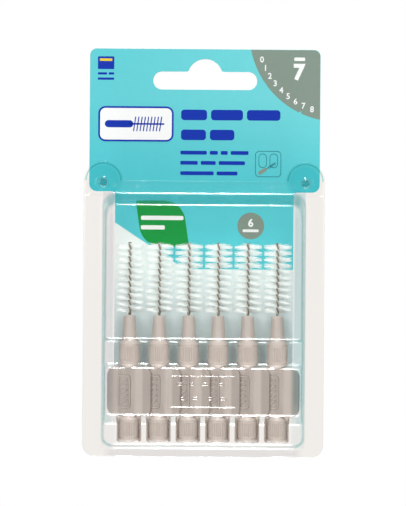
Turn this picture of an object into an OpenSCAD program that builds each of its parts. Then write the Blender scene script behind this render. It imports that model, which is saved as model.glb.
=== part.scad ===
// Hanging pack of six interdental brushes.
// A printed board hangs from a peg by its slot. A clear blister in front of it holds the
// brushes in channels, and a clear cover closes the back, hinged along the bottom edge.
// +Z is up, the front faces -Y, and the origin is where the peg bears in the slot.

/* [Hang card] */
// Clear edge of the sheets on each side of the board
card_edge = 1.6; // [0.6:0.1:3.1]
// Thickness of the board
card_t = 0.45; // [0.3:0.05:0.7]
// Board above the point where the peg bears
card_rise = 3.1; // [2.5:0.1:6]
// Board below the sheets' top edge, held between the two sheets
card_lap = 3.3; // [3.1:0.1:3.5]
// Radius of the head's top corners
card_top_r = 2; // [1:0.1:3]
// Radius of the head's lower corners
card_low_r = 2.3; // [1:0.1:2.6]
// Width of the tongue that hangs behind the brushes
tongue_w = 55; // [48:0.5:57]
// Length of the tongue below the head
tongue_l = 61.6; // [50:0.1:68]
// Radius of the tongue's lower corners
tongue_r = 3; // [1:0.1:4]
// Length of the hang slot from end to end
slot_w = 32; // [28:0.5:36]
// Height of the hang slot
slot_h = 5.5; // [4.5:0.1:7]
// Radius of the round seat for the peg, above the slot
seat_r = 5.4; // [4.5:0.1:6.5]
// Height of that seat above the slot
seat_rise = 3.9; // [3:0.1:4.4]

/* [Clear sheets] */
// Flat film on each side of the body
sheet_edge = 6.2; // [5.6:0.1:8]
// Distance from the peg's bearing point down to the sheets' straight top edge
sheet_drop = 37.6; // [34:0.1:45]
// Thickness of the film
film_t = 0.35; // [0.25:0.05:0.5]
// Radius of the sheets' bottom corners
sheet_r = 3.9; // [1:0.1:5]
// Radius of the round ears around the studs
ear_r = 6; // [5:0.1:7]

/* [Snap studs] */
// Radius of the cover's two studs
stud_r = 1.1; // [0.9:0.05:1.3]
// Depth of the blister's domes, inside
dome_h = 1; // [1:0.1:2]
// How far the studs sit below the centre of the ears
stud_drop = 0.5; // [0.2:0.1:0.8]

/* [Blister body] */
// Room on each side of the row of grips, at the sheet
side_room = 1.4; // [1.4:0.1:2.5]
// Room above the wires' ends
head_room = 15; // [14.2:0.1:20]
// Film between the sheets' top edge and the body
body_drop = 3.95; // [3.9:0.05:4.5]
// Film between the body and the sheets' bottom edge
body_foot = 2.85; // [2.6:0.05:4]
// Radius of the body's corners, seen from the front
body_r = 3.1; // [1.5:0.1:4]
// Lean of the side walls, as an inset at the front face
side_inset = 1.5; // [1:0.1:1.6]
// Lean of the top wall, as an inset at the front face
top_inset = 3.9; // [2:0.1:5]
// Lean of the bottom wall, as an inset at the low floor
low_inset = 1.6; // [0.5:0.1:1.8]
// Depth of the low floor round the lower pockets, inside
low_h = 3.55; // [2.5:0.05:4.2]
// Depth of the dips between the upper channels, from their crests
dip_h = 2.15; // [1:0.05:2.5]
// Slope of the band's upper wall
band_slope = 25; // [20:1:32]
// Slope of the band's lower wall
band_low_slope = 30; // [26:1:36]
// Room between the grips and the band's face
band_room = 1; // [0.9:0.05:1.5]

/* [Brushes] */
// Distance between neighbouring brushes
pitch = 9; // [9:0.05:9.1]
// Radius of the bristles
bristle_r = 4.3; // [4:0.05:4.35]
// Length of the bristled stretch
bristle_l = 20.3; // [16:0.1:20.8]
// Wire that stands out of the handle
wire_l = 22.2; // [22:0.1:24]
// Radius of the twisted wire
wire_r = 0.52; // [0.4:0.01:0.6]
// Length of wire for one full turn of the twist
wire_turn = 3.8; // [3.4:0.1:4.4]
// Depth of the wire in the handle
root_l = 8.2; // [6:0.1:10]
// Radius of the handle's tip at its end
tip_r = 1.85; // [1.5:0.05:2]
// Radius of the tip where it meets the shoulder
neck_r = 2.3; // [2.1:0.05:2.6]
// Length of the tip, with its shoulder
tip_l = 8.6; // [7.5:0.1:9]
// Radius of the fluted barrels
barrel_r = 3.1; // [2.8:0.05:3.15]
// Length of the upper barrel
barrel_l = 7; // [6:0.1:8]
// Length of the lower barrel
foot_l = 7.5; // [6.5:0.1:8]
// Depth of the flutes
flute_d = 0.22; // [0.1:0.01:0.3]
// Width of the flat grip
grip_w = 14; // [12.5:0.1:14.2]
// Height of the flat grip
grip_h = 15.1; // [13.5:0.1:16]
// Thickness of the grip at its middle
grip_t = 3.2; // [2.8:0.1:3.3]
// Radius of the grip's corners, seen from the front
grip_r = 2.9; // [2:0.1:3.5]
// Bevel along the grip's upper and lower edges
grip_bevel = 0.8; // [0.6:0.05:1]
// Turn of each grip about its brush, so that the grips overlap like shingles
grip_turn = 17; // [16.5:0.5:19]

/* [Clearances] */
// Gap between pieces that move apart
gap = 0.3; // [0.25:0.05:0.35]
// Free travel of each brush along its channel
play = 0.5; // [0.3:0.05:0.55]
// Gap between the bristles and the card
card_gap = 0.6; // [0.4:0.05:1]
// Gap round the wire in the handle's bore
bore_gap = 0.08; // [0.04:0.01:0.1]

/* [Hidden] */
brush_count = 6;
$fn = 48;
// Overrun of a cut past the face that it opens
cut = 0.2 * gap;
// Straight steps in a rounded corner
corner_steps = 8;

// Widths, worked out from the row of brushes
body_w = 2 * (brush_x(brush_count) + grip_w / 2 + side_room);
sheet_w = body_w + 2 * sheet_edge;
card_w = sheet_w - 2 * card_edge;
ear_x = sheet_w / 2 - ear_r;

// Heights, from the sheets' straight top edge down
sheet_top = -sheet_drop;
body_top = sheet_top - body_drop;
stud_z = sheet_top - stud_drop;
dome_r = stud_r + gap;
head_low = sheet_top - card_lap;

// Stations along a brush, from the wire's end down
wire_top = body_top - head_room;
tip_top = wire_top - wire_l;
barrel_top = tip_top - tip_l;
grip_top = barrel_top - barrel_l;
grip_low = grip_top - grip_h;
foot_low = grip_low - foot_l;

// Ends of the lower pockets, of the body and of the sheets
pocket_lift_share = 0.78;
pocket_low = foot_low - gap;
body_low = pocket_low - film_t - low_inset / pocket_lift_share;
sheet_low = body_low - body_foot;
sheet_h = sheet_top - sheet_low;

// The brush's axis, and how far the grip reaches in front of it
axis_h = bristle_r + card_gap;
grip_half_shares = [[0.31, 1], [0.57, 0.75], [1, 0.34]];
function grip_half(share) =
    [share[0] * grip_w / 2, share[1] * grip_t / 2];
grip_reach = max([for (s = grip_half_shares)
    grip_half(s)[0] * sin(grip_turn) + grip_half(s)[1] * cos(grip_turn)]);

// Depths inside the blister: head space, upper channels, band over the grips
channel_r = barrel_r + gap;
head_h = axis_h + bristle_r + gap;
band_h = axis_h + grip_reach + band_room;
upper_h = axis_h + channel_r - dip_h;

// Where those depths change
step_rise_share = 0.35;
step_run_share = 0.25;
head_foot = barrel_top + step_rise_share * barrel_r;
head_edge = head_foot + step_run_share * barrel_r;
band_under_share = 0.28;
band_top = grip_top - play / 5;
band_low = grip_low + band_under_share * barrel_r;

// Raised panel in the middle of the band
panel_w_share = 0.33;
panel_h_share = 0.68;
panel_w = panel_w_share * body_w;
panel_h = panel_h_share * (band_top - band_low);
panel_r = panel_h / 16;
panel_rise = film_t;

// Oval lugs near the sheets' corners, which keep stacked packs apart
lug_l_share = 0.09;
lug_l = lug_l_share * sheet_w;
lug_w = body_foot / 2 - film_t / 2;
lug_x = body_w / 2 - lug_l;
lug_rise = film_t;

// The cover's shallow pocket for the tongue
pocket_edge = 1.2 * film_t + card_t;
cover_front = gap;
pocket_floor = card_t + gap;

function brush_x(i) = (i - (brush_count + 1) / 2) * pitch;
function arc(centre, r, from, to, steps = corner_steps) =
    [for (k = [0:steps]) let (a = from + (to - from) * k / steps)
        centre + r * [cos(a), sin(a)]];
// A left half that mirrors the given right half, so the outline closes
function both_sides(right) = concat(
    right, [for (k = [len(right) - 1:-1:0]) [-right[k][0], right[k][1]]]
);

// A flat shape of X and Z, made solid from its back face towards the front
module facing(back, depth) {
    translate([0, back, 0]) rotate([90, 0, 0]) linear_extrude(depth) children();
}

// A flat shape of Y and Z, made solid to both sides of the middle
module across(half) {
    translate([-half, 0, 0]) rotate([90, 0, 90]) linear_extrude(2 * half) children();
}

module rounded(w, low, top, r_low, r_top) {
    polygon(both_sides(concat(
        arc([w / 2 - r_low, low + r_low], r_low, -90, 0),
        arc([w / 2 - r_top, top - r_top], r_top, 0, 90)
    )));
}

module stadium(l, w) {
    polygon(both_sides(arc([l / 2 - w / 2, 0], w / 2, -90, 90, 2 * corner_steps)));
}

module sheet_outline() {
    ear_steps = 3 * corner_steps;
    polygon(both_sides(concat(
        arc([sheet_w / 2 - sheet_r, sheet_low + sheet_r], sheet_r, -90, 0),
        arc([ear_x, sheet_top], ear_r, 0, 180, ear_steps)
    )));
}

module stud_places() {
    for (side = [-1, 1]) translate([side * ear_x, stud_z]) children();
}

module card_outline() {
    inner_r = card_low_r / 2;
    polygon(both_sides(concat(
        arc([tongue_w / 2 - tongue_r, head_low - tongue_l + tongue_r], tongue_r, -90, 0),
        arc([tongue_w / 2 + inner_r, head_low - inner_r], inner_r, 180, 90),
        arc([card_w / 2 - card_low_r, head_low + card_low_r], card_low_r, -90, 0),
        arc([card_w / 2 - card_top_r, card_rise - card_top_r], card_top_r, 0, 90)
    )));
}

module hang_card() {
    color("mediumturquoise") facing(card_t, card_t) difference() {
        card_outline();
        translate([0, -seat_rise - slot_h / 2]) stadium(slot_w, slot_h);
        intersection() {
            translate([0, -seat_r]) circle(seat_r);
            translate([-seat_r, -seat_rise - slot_h / 2]) square(2 * seat_r);
        }
        stud_places() circle(dome_r);
    }
}

// The body's side view. Every wall moves out by grow, so one shape gives both faces.
module body_side(grow, back) {
    upper_out = grow / cos(band_slope);
    lower_out = grow / cos(band_low_slope);
    polygon([
        [back, body_top + grow],
        [-head_h - grow, body_top - top_inset + grow],
        [-head_h - grow, head_edge - grow],
        [-upper_h - grow, head_foot - grow],
        [-upper_h - grow, band_top + (band_h - upper_h) * tan(band_slope) + upper_out],
        [-band_h - grow, band_top + upper_out],
        [-band_h - grow, band_low - lower_out],
        [-low_h - grow, band_low - (band_h - low_h) * tan(band_low_slope) - lower_out],
        [-low_h - grow, body_low + low_inset - grow],
        [back, body_low - grow]
    ]);
}

// The body seen from above, with its leaning side walls
module body_section(grow, back) {
    half = body_w / 2 + grow;
    polygon(both_sides([[half, back], [half - side_inset, -head_h - grow]]));
}

module channel(i, grow, back) {
    r = channel_r + grow;
    low = pocket_low - grow;
    top = head_edge + channel_r;
    translate([brush_x(i), 0, low]) linear_extrude(top - low) {
        translate([0, -axis_h]) circle(r);
        translate([-r, -axis_h]) square([2 * r, axis_h + back]);
    }
}

module band_panel(grow) {
    low = (band_top + band_low - panel_h) / 2;
    r = panel_r + grow;
    facing(-band_h, panel_rise + grow)
        rounded(panel_w + 2 * grow, low - grow, low + panel_h + grow, r, r);
}

module lugs(grow, back) {
    for (side = [-1, 1], z = [sheet_low + body_foot / 2, sheet_top - body_drop / 2])
        translate([side * lug_x, 0, z])
            facing(back, back + lug_rise + grow)
                stadium(lug_l + 2 * grow, lug_w + 2 * grow);
}

module blister_form(grow, back) {
    intersection() {
        facing(back, head_h + grow + back)
            rounded(body_w + 2 * grow, body_low - grow, body_top + grow,
                body_r + grow, body_r + grow);
        across(body_w) body_side(grow, back);
        translate([0, 0, sheet_low]) linear_extrude(sheet_h) body_section(grow, back);
    }
    for (i = [1:brush_count]) channel(i, grow, back);
    band_panel(grow);
    lugs(grow, back);
    facing(back, back + dome_h + grow) stud_places() circle(dome_r + grow);
}

module front_blister() {
    color("aliceblue", 0.4) difference() {
        union() {
            facing(0, film_t) sheet_outline();
            blister_form(film_t, 0);
        }
        blister_form(0, cut);
    }
}

module cover_pocket(grow) {
    low = head_low - tongue_l - pocket_edge;
    rounded(tongue_w + 2 * (pocket_edge + grow), low - grow, sheet_top,
        tongue_r + grow, tongue_r / 2);
    head_zone_low = head_low - pocket_edge - grow;
    translate([-sheet_w / 2 - cut, head_zone_low])
        square([sheet_w + 2 * cut, sheet_top + ear_r + cut - head_zone_low]);
}

module back_cover() {
    back = pocket_floor + film_t;
    stud_l = pocket_floor + dome_h - gap;
    color("lavender", 0.4) difference() {
        union() {
            difference() {
                union() {
                    facing(cover_front + film_t, film_t) sheet_outline();
                    facing(back, back - cover_front) intersection() {
                        sheet_outline();
                        cover_pocket(film_t);
                    }
                }
                facing(pocket_floor, pocket_floor) cover_pocket(0);
            }
            facing(back, stud_l + film_t) stud_places() circle(stud_r);
        }
        facing(back + cut, stud_l + cut) stud_places() circle(stud_r - film_t);
    }
}

// Ridged round bar: its outline runs in and out once for each flute
module fluted(low, top, r) {
    flute_count = 34;
    translate([0, 0, low]) linear_extrude(top - low)
        polygon([for (k = [0:2 * flute_count - 1])
            let (a = 180 * k / flute_count, out = r - (k % 2) * flute_d)
                out * [cos(a), sin(a)]]);
}

// Plain collars at both ends of each fluted stretch, and the cones into the flat grip
collar = barrel_r / 6;
barrel_end_r = barrel_r / 3;
blend_share = 0.42;
blend = blend_share * barrel_r;
lower_flutes = [foot_low + barrel_end_r + collar / 2, grip_low - blend - collar];
upper_flutes = [grip_top + blend + collar, barrel_top - collar];

// The round core of a handle, turned about the brush's axis
module handle_core() {
    round_r = tip_r / 4;
    core_r = barrel_r - 2 * flute_d;
    throat_r = grip_t / 3;
    rotate_extrude() polygon(concat(
        [[0, foot_low]],
        arc([barrel_r - barrel_end_r, foot_low + barrel_end_r], barrel_end_r, -90, 0),
        [[barrel_r, lower_flutes[0]], [core_r, lower_flutes[0]]],
        [[core_r, lower_flutes[1]], [barrel_r, lower_flutes[1]]],
        [[barrel_r, grip_low - blend], [throat_r, grip_low + blend]],
        [[throat_r, grip_top - blend], [barrel_r, grip_top + blend]],
        [[barrel_r, upper_flutes[0]], [core_r, upper_flutes[0]]],
        [[core_r, upper_flutes[1]], [barrel_r, upper_flutes[1]]],
        [[barrel_r, barrel_top], [neck_r, barrel_top + barrel_r - neck_r + collar]],
        arc([tip_r - round_r, tip_top - round_r], round_r, 0, 90),
        [[0, tip_top]]
    ));
}

module flutes() {
    sink = flute_d / 4;
    for (stretch = [lower_flutes, upper_flutes])
        fluted(stretch[0] - sink, stretch[1] + sink, barrel_r - sink);
}

// Flat grip: thick in the middle, thin at its long edges, bevelled along the short ones
module grip() {
    right = [for (s = grip_half_shares) grip_half(s)];
    last = len(right) - 1;
    back = concat([for (k = [last:-1:0]) right[k]], [for (p = right) [-p[0], p[1]]]);
    section = concat(back, [for (k = [len(back) - 1:-1:0]) [back[k][0], -back[k][1]]]);
    thick = grip_t / 2;
    rotate([0, 0, -grip_turn]) intersection() {
        translate([0, 0, grip_low]) linear_extrude(grip_h) polygon(section);
        facing(grip_t, 2 * grip_t) rounded(grip_w, grip_low, grip_top, grip_r, grip_r);
        across(grip_w) polygon(both_sides([
            [thick - grip_bevel, grip_low], [thick, grip_low + grip_bevel],
            [thick, grip_top - grip_bevel], [thick - grip_bevel, grip_top]
        ]));
    }
}

module at_brush(i) {
    translate([brush_x(i), -axis_h, 0]) children();
}

module handle(i) {
    color("rosybrown") at_brush(i) difference() {
        union() {
            handle_core();
            flutes();
            grip();
        }
        translate([0, 0, tip_top - root_l - gap])
            cylinder(r = wire_r + bore_gap, h = root_l + gap + cut);
    }
}

// Two strands side by side, as one waisted outline that the twist carries round
wire_shares = [[1, 0], [0.72, 0.42], [0, 0.2], [-0.72, 0.42], [-1, 0],
    [-0.72, -0.42], [0, -0.2], [0.72, -0.42]];
root_share = 0.95;

module wire(i) {
    steps_per_turn = 5;
    start = tip_top - wire_turn / 4;
    length = wire_top - start;
    color("peru") at_brush(i) {
        translate([0, 0, start])
            linear_extrude(length, twist = -360 * length / wire_turn,
                slices = ceil(steps_per_turn * length / wire_turn),
                segments = len(wire_shares))
                polygon(wire_r * wire_shares);
        translate([0, 0, tip_top - root_l])
            cylinder(r = root_share * wire_r, h = root_l - wire_turn / 8);
    }
}

// Strands stand out from a square core in pairs, each pair turned with the wire.
// The core's corners are counted on from pair to pair, so that its sides turn least.
pair_count = 30;
pair_low = tip_top + (wire_l - bristle_l) / 2;
pair_step = bristle_l / pair_count;
pair_turn = 360 * pair_step / wire_turn;
side_step = round(pair_turn / 90);
strand_w = wire_r / 4;
strand_h = wire_r / 5;
strand_end_share = 0.7;
// The strands leave between the two wires, a quarter turn from them
first_turn = 360 * (pair_z(0) - tip_top + wire_turn / 4) / wire_turn + 90;

function pair_z(k) = pair_low + (k + 0.5) * pair_step;
function side_of(k, way) = (k * side_step + 2 * way) % 4;
function corner_at(k, j, z) =
    let (a = first_turn + k * (pair_turn - 90 * side_step) + 90 * j + 45)
        [strand_w * sqrt(2) * cos(a), strand_w * sqrt(2) * sin(a), z];
function strand_end(k, way, right, up) =
    let (a = first_turn + k * pair_turn + 180 * way, w = right * strand_end_share * strand_w)
        [bristle_r * cos(a) - w * sin(a), bristle_r * sin(a) + w * cos(a),
         pair_z(k) + up * strand_end_share * strand_h];
function split(q) = [[q[0], q[1], q[2]], [q[0], q[2], q[3]]];

module strands() {
    last = pair_count - 1;
    rings = [for (k = [0:last], up = [-1, 1], j = [0:3]) corner_at(k, j, pair_z(k) + up * strand_h)];
    ends = [for (k = [0:last], way = [0, 1], c = [[-1, -1], [1, -1], [1, 1], [-1, 1]])
        strand_end(k, way, c[0], c[1])];
    // The ring points at the left and right of side j, low and high
    function low_at(k, j) = 8 * k + (j + 4) % 4;
    function high_at(k, j) = low_at(k, j) + 4;
    function end_at(k, way, c) = len(rings) + 8 * k + 4 * way + c;
    plain = [for (k = [0:last], j = [0:3]) if (j != side_of(k, 0) && j != side_of(k, 1))
        [high_at(k, j - 1), high_at(k, j), low_at(k, j), low_at(k, j - 1)]];
    between = [for (k = [0:last - 1], j = [0:3])
        [low_at(k + 1, j - 1), low_at(k + 1, j), high_at(k, j), high_at(k, j - 1)]];
    strand = [for (k = [0:last], way = [0, 1])
        let (j = side_of(k, way), e = [for (c = [0:3]) end_at(k, way, c)],
            a = low_at(k, j - 1), b = low_at(k, j), c = high_at(k, j), d = high_at(k, j - 1))
        each [[e[3], e[2], e[1], e[0]], [c, e[2], e[3], d], [a, e[0], e[1], b],
            [e[2], c, b, e[1]], [d, e[3], e[0], a]]];
    caps = [[0, 1, 2, 3], [for (j = [3:-1:0]) high_at(last, j)]];
    polyhedron(concat(rings, ends),
        [for (q = concat(plain, between, strand, caps)) each split(q)]);
}

module filaments(i) {
    color("white") at_brush(i) strands();
}

hang_card();
front_blister();
back_cover();
for (i = [1:brush_count]) {
    handle(i);
    wire(i);
    filaments(i);
}
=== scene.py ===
import math

import bmesh
import bpy
import numpy as np
from mathutils import Matrix, Vector


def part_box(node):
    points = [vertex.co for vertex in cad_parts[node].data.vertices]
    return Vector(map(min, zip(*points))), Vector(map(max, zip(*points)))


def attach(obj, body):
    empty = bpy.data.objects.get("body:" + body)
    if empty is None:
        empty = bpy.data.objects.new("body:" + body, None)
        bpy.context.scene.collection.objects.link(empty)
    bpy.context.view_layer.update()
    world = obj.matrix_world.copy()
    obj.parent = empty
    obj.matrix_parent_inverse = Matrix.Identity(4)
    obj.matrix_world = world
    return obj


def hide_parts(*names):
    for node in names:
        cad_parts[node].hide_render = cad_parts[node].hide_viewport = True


# A hang pack of six interdental brushes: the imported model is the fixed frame, and each
# piece below is modelled in millimetres in that frame and made metres when it is finished.
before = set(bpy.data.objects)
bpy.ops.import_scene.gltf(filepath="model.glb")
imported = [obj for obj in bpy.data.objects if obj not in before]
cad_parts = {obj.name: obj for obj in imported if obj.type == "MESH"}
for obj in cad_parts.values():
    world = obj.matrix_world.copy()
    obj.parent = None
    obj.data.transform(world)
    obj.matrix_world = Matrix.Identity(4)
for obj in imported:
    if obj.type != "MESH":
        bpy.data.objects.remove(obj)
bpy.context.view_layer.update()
mm = 0.001
brushCount = 6


def boxOf(node):
    low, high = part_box(node)
    return low / mm, high / mm


cardLow, cardHigh = boxOf("hang_card")
filmLow, filmHigh = boxOf("front_blister")
coverLow, coverHigh = boxOf("back_cover")
handleLow, _ = boxOf("handle_1")
_, wireHigh = boxOf("wire_1")
bristleLow, bristleHigh = boxOf("filaments_1")
brushX = []
for number in range(1, brushCount + 1):
    low, high = boxOf(f"filaments_{number}")
    brushX.append((low.x + high.x) / 2)
axisDepth = -(bristleLow.y + bristleHigh.y) / 2
pitch = brushX[1] - brushX[0]
# the ears are round plates at the sheets' top corners
earRadius = 6.0
earX, earZ = filmHigh.x - earRadius, filmHigh.z - earRadius
print("frame loaded, brush axes at", [round(x, 2) for x in brushX])


# Small tools

def linear(hexCode):
    # an sRGB hex colour as the linear numbers that nodes want
    shares = [int(hexCode[k:k + 2], 16) / 255 for k in (1, 3, 5)]
    return (*(s / 12.92 if s <= 0.04045 else ((s + 0.055) / 1.055) ** 2.4 for s in shares), 1.0)


def newFinish(name):
    finish = bpy.data.materials.new(name)
    finish.use_nodes = True
    finish.node_tree.nodes.clear()
    return finish


def addNode(finish, kind, values=None, links=None, **settings):
    node = finish.node_tree.nodes.new(kind)
    for setting, value in settings.items():
        setattr(node, setting, value)
    for socket, value in (values or {}).items():
        node.inputs[socket].default_value = value
    for socket, source in (links or {}).items():
        finish.node_tree.links.new(source, node.inputs[socket])
    return node


def addShape(target, shape, place=None):
    # moves one bmesh into another, turned and placed
    if place is not None:
        bmesh.ops.transform(shape, matrix=place, verts=shape.verts)
    mesh = bpy.data.meshes.new("shape")
    shape.to_mesh(mesh)
    shape.free()
    target.from_mesh(mesh)
    bpy.data.meshes.remove(mesh)


def combine(first, second, operation):
    # exact boolean of two closed shapes
    holders = []
    for shape in (first, second):
        mesh = bpy.data.meshes.new("shape")
        shape.to_mesh(mesh)
        shape.free()
        holder = bpy.data.objects.new("shape", mesh)
        bpy.context.scene.collection.objects.link(holder)
        holders.append(holder)
    cut = holders[0].modifiers.new("cut", "BOOLEAN")
    cut.operation = operation
    cut.solver = "EXACT"
    cut.object = holders[1]
    bpy.context.view_layer.update()
    result = bmesh.new()
    result.from_object(holders[0], bpy.context.evaluated_depsgraph_get())
    for holder in holders:
        mesh = holder.data
        bpy.data.objects.remove(holder)
        bpy.data.meshes.remove(mesh)
    return result


def makePiece(name, shape, finishes, body, replaced=(), creaseAngle=35):
    # a bmesh in millimetres becomes a finished piece that rides on its body
    bmesh.ops.transform(shape, matrix=Matrix.Scale(mm, 4), verts=shape.verts)
    mesh = bpy.data.meshes.new(name)
    shape.to_mesh(mesh)
    shape.free()
    mesh.shade_smooth()
    mesh.set_sharp_from_angle(angle=math.radians(creaseAngle))
    for finish in finishes:
        mesh.materials.append(finish)
    piece = bpy.data.objects.new(name, mesh)
    bpy.context.scene.collection.objects.link(piece)
    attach(piece, body)
    if replaced:
        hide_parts(*replaced)


def coordinates(shape):
    return np.array([vert.co for vert in shape.verts])


def moveTo(shape, places):
    for vert, place in zip(shape.verts, places):
        vert.co = place


def roundOff(shape, geometry, radius, segments, affect="EDGES"):
    # bevels edges, or the corners of a flat shape, to a round
    bmesh.ops.bevel(shape, geom=geometry, offset=radius, offset_type="OFFSET", affect=affect,
                    segments=segments, profile=0.5, material=-1)


def roundEdges(shape, picked, radius, segments):
    roundOff(shape, [edge for edge in shape.edges if picked(edge)], radius, segments)


def cutBy(shape, place, way, clear=True):
    # cuts a shape along a plane and clears what lies beyond it
    bmesh.ops.bisect_plane(shape, geom=shape.verts[:] + shape.edges[:] + shape.faces[:],
                           plane_co=place, plane_no=way, clear_outer=clear)


def steps(*stops):
    # grid lines between stops (place, step): each step holds up to the next stop
    lines = []
    for (start, step), (end, _) in zip(stops, stops[1:]):
        count = max(1, round(abs(end - start) / step))
        lines += [start + (end - start) * k / count for k in range(count)]
    return lines + [stops[-1][0]]


def lineGrid(columns, rows):
    # a flat grid whose lines lie at the given places
    shape = bmesh.new()
    bmesh.ops.create_grid(shape, x_segments=len(columns) - 1, y_segments=len(rows) - 1, size=0.5)
    places = coordinates(shape)
    across = np.rint((places[:, 0] + 0.5) * (len(columns) - 1)).astype(int)
    along = np.rint((places[:, 1] + 0.5) * (len(rows) - 1)).astype(int)
    places[:, 0] = np.array(columns)[across]
    places[:, 1] = np.array(rows)[along]
    moveTo(shape, places)
    return shape


def roundCorner(x, z, centreX, centreZ, full, fade):
    # square rings round a corner's centre become arcs, fading out further away
    right, up = (x - centreX[0]) * centreX[1], (z - centreZ[0]) * centreZ[1]
    reach = np.maximum(right, up)
    length = np.maximum(np.hypot(right, up), 1e-9)
    slack = 0.01
    share = np.clip((full + fade + slack - reach) / max(fade, slack), 0, 1)
    share = np.where((right > 0) & (up > 0), share, 0)
    scale = 1 + share * (reach / length - 1)
    return centreX[0] + right * scale * centreX[1], centreZ[0] + up * scale * centreZ[1]


def roundInner(a, b, radius):
    # what two shapes share, with a rounded outer edge
    return (np.minimum(np.maximum(a, b), -radius)
            + np.hypot(np.maximum(a + radius, 0), np.maximum(b + radius, 0)))


def roundOuter(a, b, radius):
    # two shapes together, with a rounded inner corner
    return (np.maximum(np.minimum(a, b), radius)
            - np.hypot(np.maximum(radius - a, 0), np.maximum(radius - b, 0)))


def slant(depth, z, low, high):
    # distance past the wall through two points (depth, z), positive on the wall's left
    run = np.array(high) - np.array(low)
    run = run / np.hypot(*run)
    return (depth - low[0]) * -run[1] + (z - low[1]) * run[0]


# Finishes

def noiseScale(size):
    # the Scale of a noise texture whose patches are this many millimetres across, to the
    # nearest ten patches in a metre
    return round(1 / (size * mm), -1)


def fadeMask(finish, *fades, within=None):
    # a mask that is 1 where every fade has come up. A fade is (source, start, end) in
    # millimetres, and a fourth number is what it starts from instead of 0
    mask = within
    for source, start, end, *low in fades:
        fade = addNode(finish, "ShaderNodeMapRange",
                       {1: start * mm, 2: end * mm, 3: low[0] if low else 0.0},
                       {0: source}).outputs[0]
        if mask is not None:
            fade = addNode(finish, "ShaderNodeMath", links={0: mask, 1: fade},
                           operation="MULTIPLY").outputs[0]
        mask = fade
    return mask


def earDistance(finish, axes, aside):
    # how far a place in the ears' upper halves lies from the ear's centre, and above it
    across = addNode(finish, "ShaderNodeMath", {1: earX * mm}, {0: aside}, operation="SUBTRACT")
    up = addNode(finish, "ShaderNodeMath", {1: earZ * mm}, {0: axes["Z"]}, operation="SUBTRACT")
    place = addNode(finish, "ShaderNodeCombineXYZ", links={0: across.outputs[0], 1: up.outputs[0]})
    reach = addNode(finish, "ShaderNodeVectorMath", links={0: place.outputs[0]}, operation="LENGTH")
    return reach.outputs["Value"], up.outputs[0]


boardLook = {
    # places in millimetres; a pair of colours is low and high, or left and right
    "half": 36.0,
    # painted light: the ink grows lighter towards the top and the right
    "left": ("#50c8d2", "#62d0d8"),
    "right": ("#56ccd4", "#76dce1"),
    "rise": (-38.0, -12.0),
    # painted shade: the ink deeper where the film lies over it, deeper still under the ears
    "shadeUnderFilm": ("#55ced9", "#5dd5de"),
    "filmEdge": (-37.4, -37.8),
    "shadeUnderEar": "#40c6d1",
    "earEdge": (6.4, 4.4),
    "slope": -0.66,
    "slopeStart": -68.6,
    "level": -64.7,
    "edgeSoft": 0.05,
    # the pale print under the brushes, painted darker towards the bottom as the handles' and
    # pockets' shade
    "pale": ("#f2fbfa", "#d9eaec"),
    "paleShadeFade": (-62.0, -86.0),
    "varnish": 0.46,
    "mottleSize": 2.381,
    "fibreSize": 0.3846,  # far finer on real board, drawn as coarse as it needs to show
    "fibreDepth": 0.03,
}


def coatedBoard():
    # white-coated carton board, offset printed and varnished: ink with a faint mottle and a satin
    # sheen.
    # Painted light and shade: the ink is lighter towards the top and the right, deeper under the
    # film and the ears, and the pale print darker towards the bottom, in the handles' shade
    b = boardLook
    finish = newFinish("coatedBoard")
    place = addNode(finish, "ShaderNodeTexCoord").outputs["Object"]
    axes = addNode(finish, "ShaderNodeSeparateXYZ", links={0: place}).outputs
    across = fadeMask(finish, (axes["X"], -b["half"], b["half"]))
    rise = fadeMask(finish, (axes["Z"], *b["rise"]))
    # painted shade: the pale print darker towards the bottom
    fade = fadeMask(finish, (axes["Z"], *b["paleShadeFade"]))
    left, right, sheet, pale = (
        addNode(finish, "ShaderNodeMix", {6: linear(low), 7: linear(high)}, {0: share},
                data_type="RGBA").outputs[2]
        for (low, high), share in ((b["left"], rise), (b["right"], rise), (b["shadeUnderFilm"], across),
                                   (b["pale"], fade)))
    ink = addNode(finish, "ShaderNodeMix", links={0: across, 6: left, 7: right}, data_type="RGBA")
    aside = addNode(finish, "ShaderNodeMath", links={0: axes["X"]}, operation="ABSOLUTE").outputs[0]
    # painted shade: the ink deeper under the film and the ears
    away, _ = earDistance(finish, axes, aside)
    ear = fadeMask(finish, (away, *b["earEdge"]))
    under = addNode(finish, "ShaderNodeMath", operation="MAXIMUM",
                    links={0: fadeMask(finish, (axes["Z"], *b["filmEdge"])), 1: ear})
    sheet = addNode(finish, "ShaderNodeMix", {7: linear(b["shadeUnderEar"])}, {0: ear, 6: sheet},
                    data_type="RGBA")
    deep = addNode(finish, "ShaderNodeMix", data_type="RGBA",
                   links={0: under.outputs[0], 6: ink.outputs[2], 7: sheet.outputs[2]})
    # the print's lower edge: a slope from the left that runs out level
    slope = addNode(finish, "ShaderNodeMath", {1: b["slope"], 2: b["slopeStart"] * mm},
                    {0: axes["X"]}, operation="MULTIPLY_ADD")
    edge = addNode(finish, "ShaderNodeMath", {1: b["level"] * mm}, {0: slope.outputs[0]},
                   operation="MAXIMUM")
    above = addNode(finish, "ShaderNodeMath", links={0: axes["Z"], 1: edge.outputs[0]},
                    operation="SUBTRACT")
    inked = fadeMask(finish, (above.outputs[0], -b["edgeSoft"], b["edgeSoft"]))
    colour = addNode(finish, "ShaderNodeMix", links={0: inked, 6: pale, 7: deep.outputs[2]},
                     data_type="RGBA")
    return boardSurface(finish, place, colour.outputs[2], b["varnish"])


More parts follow.
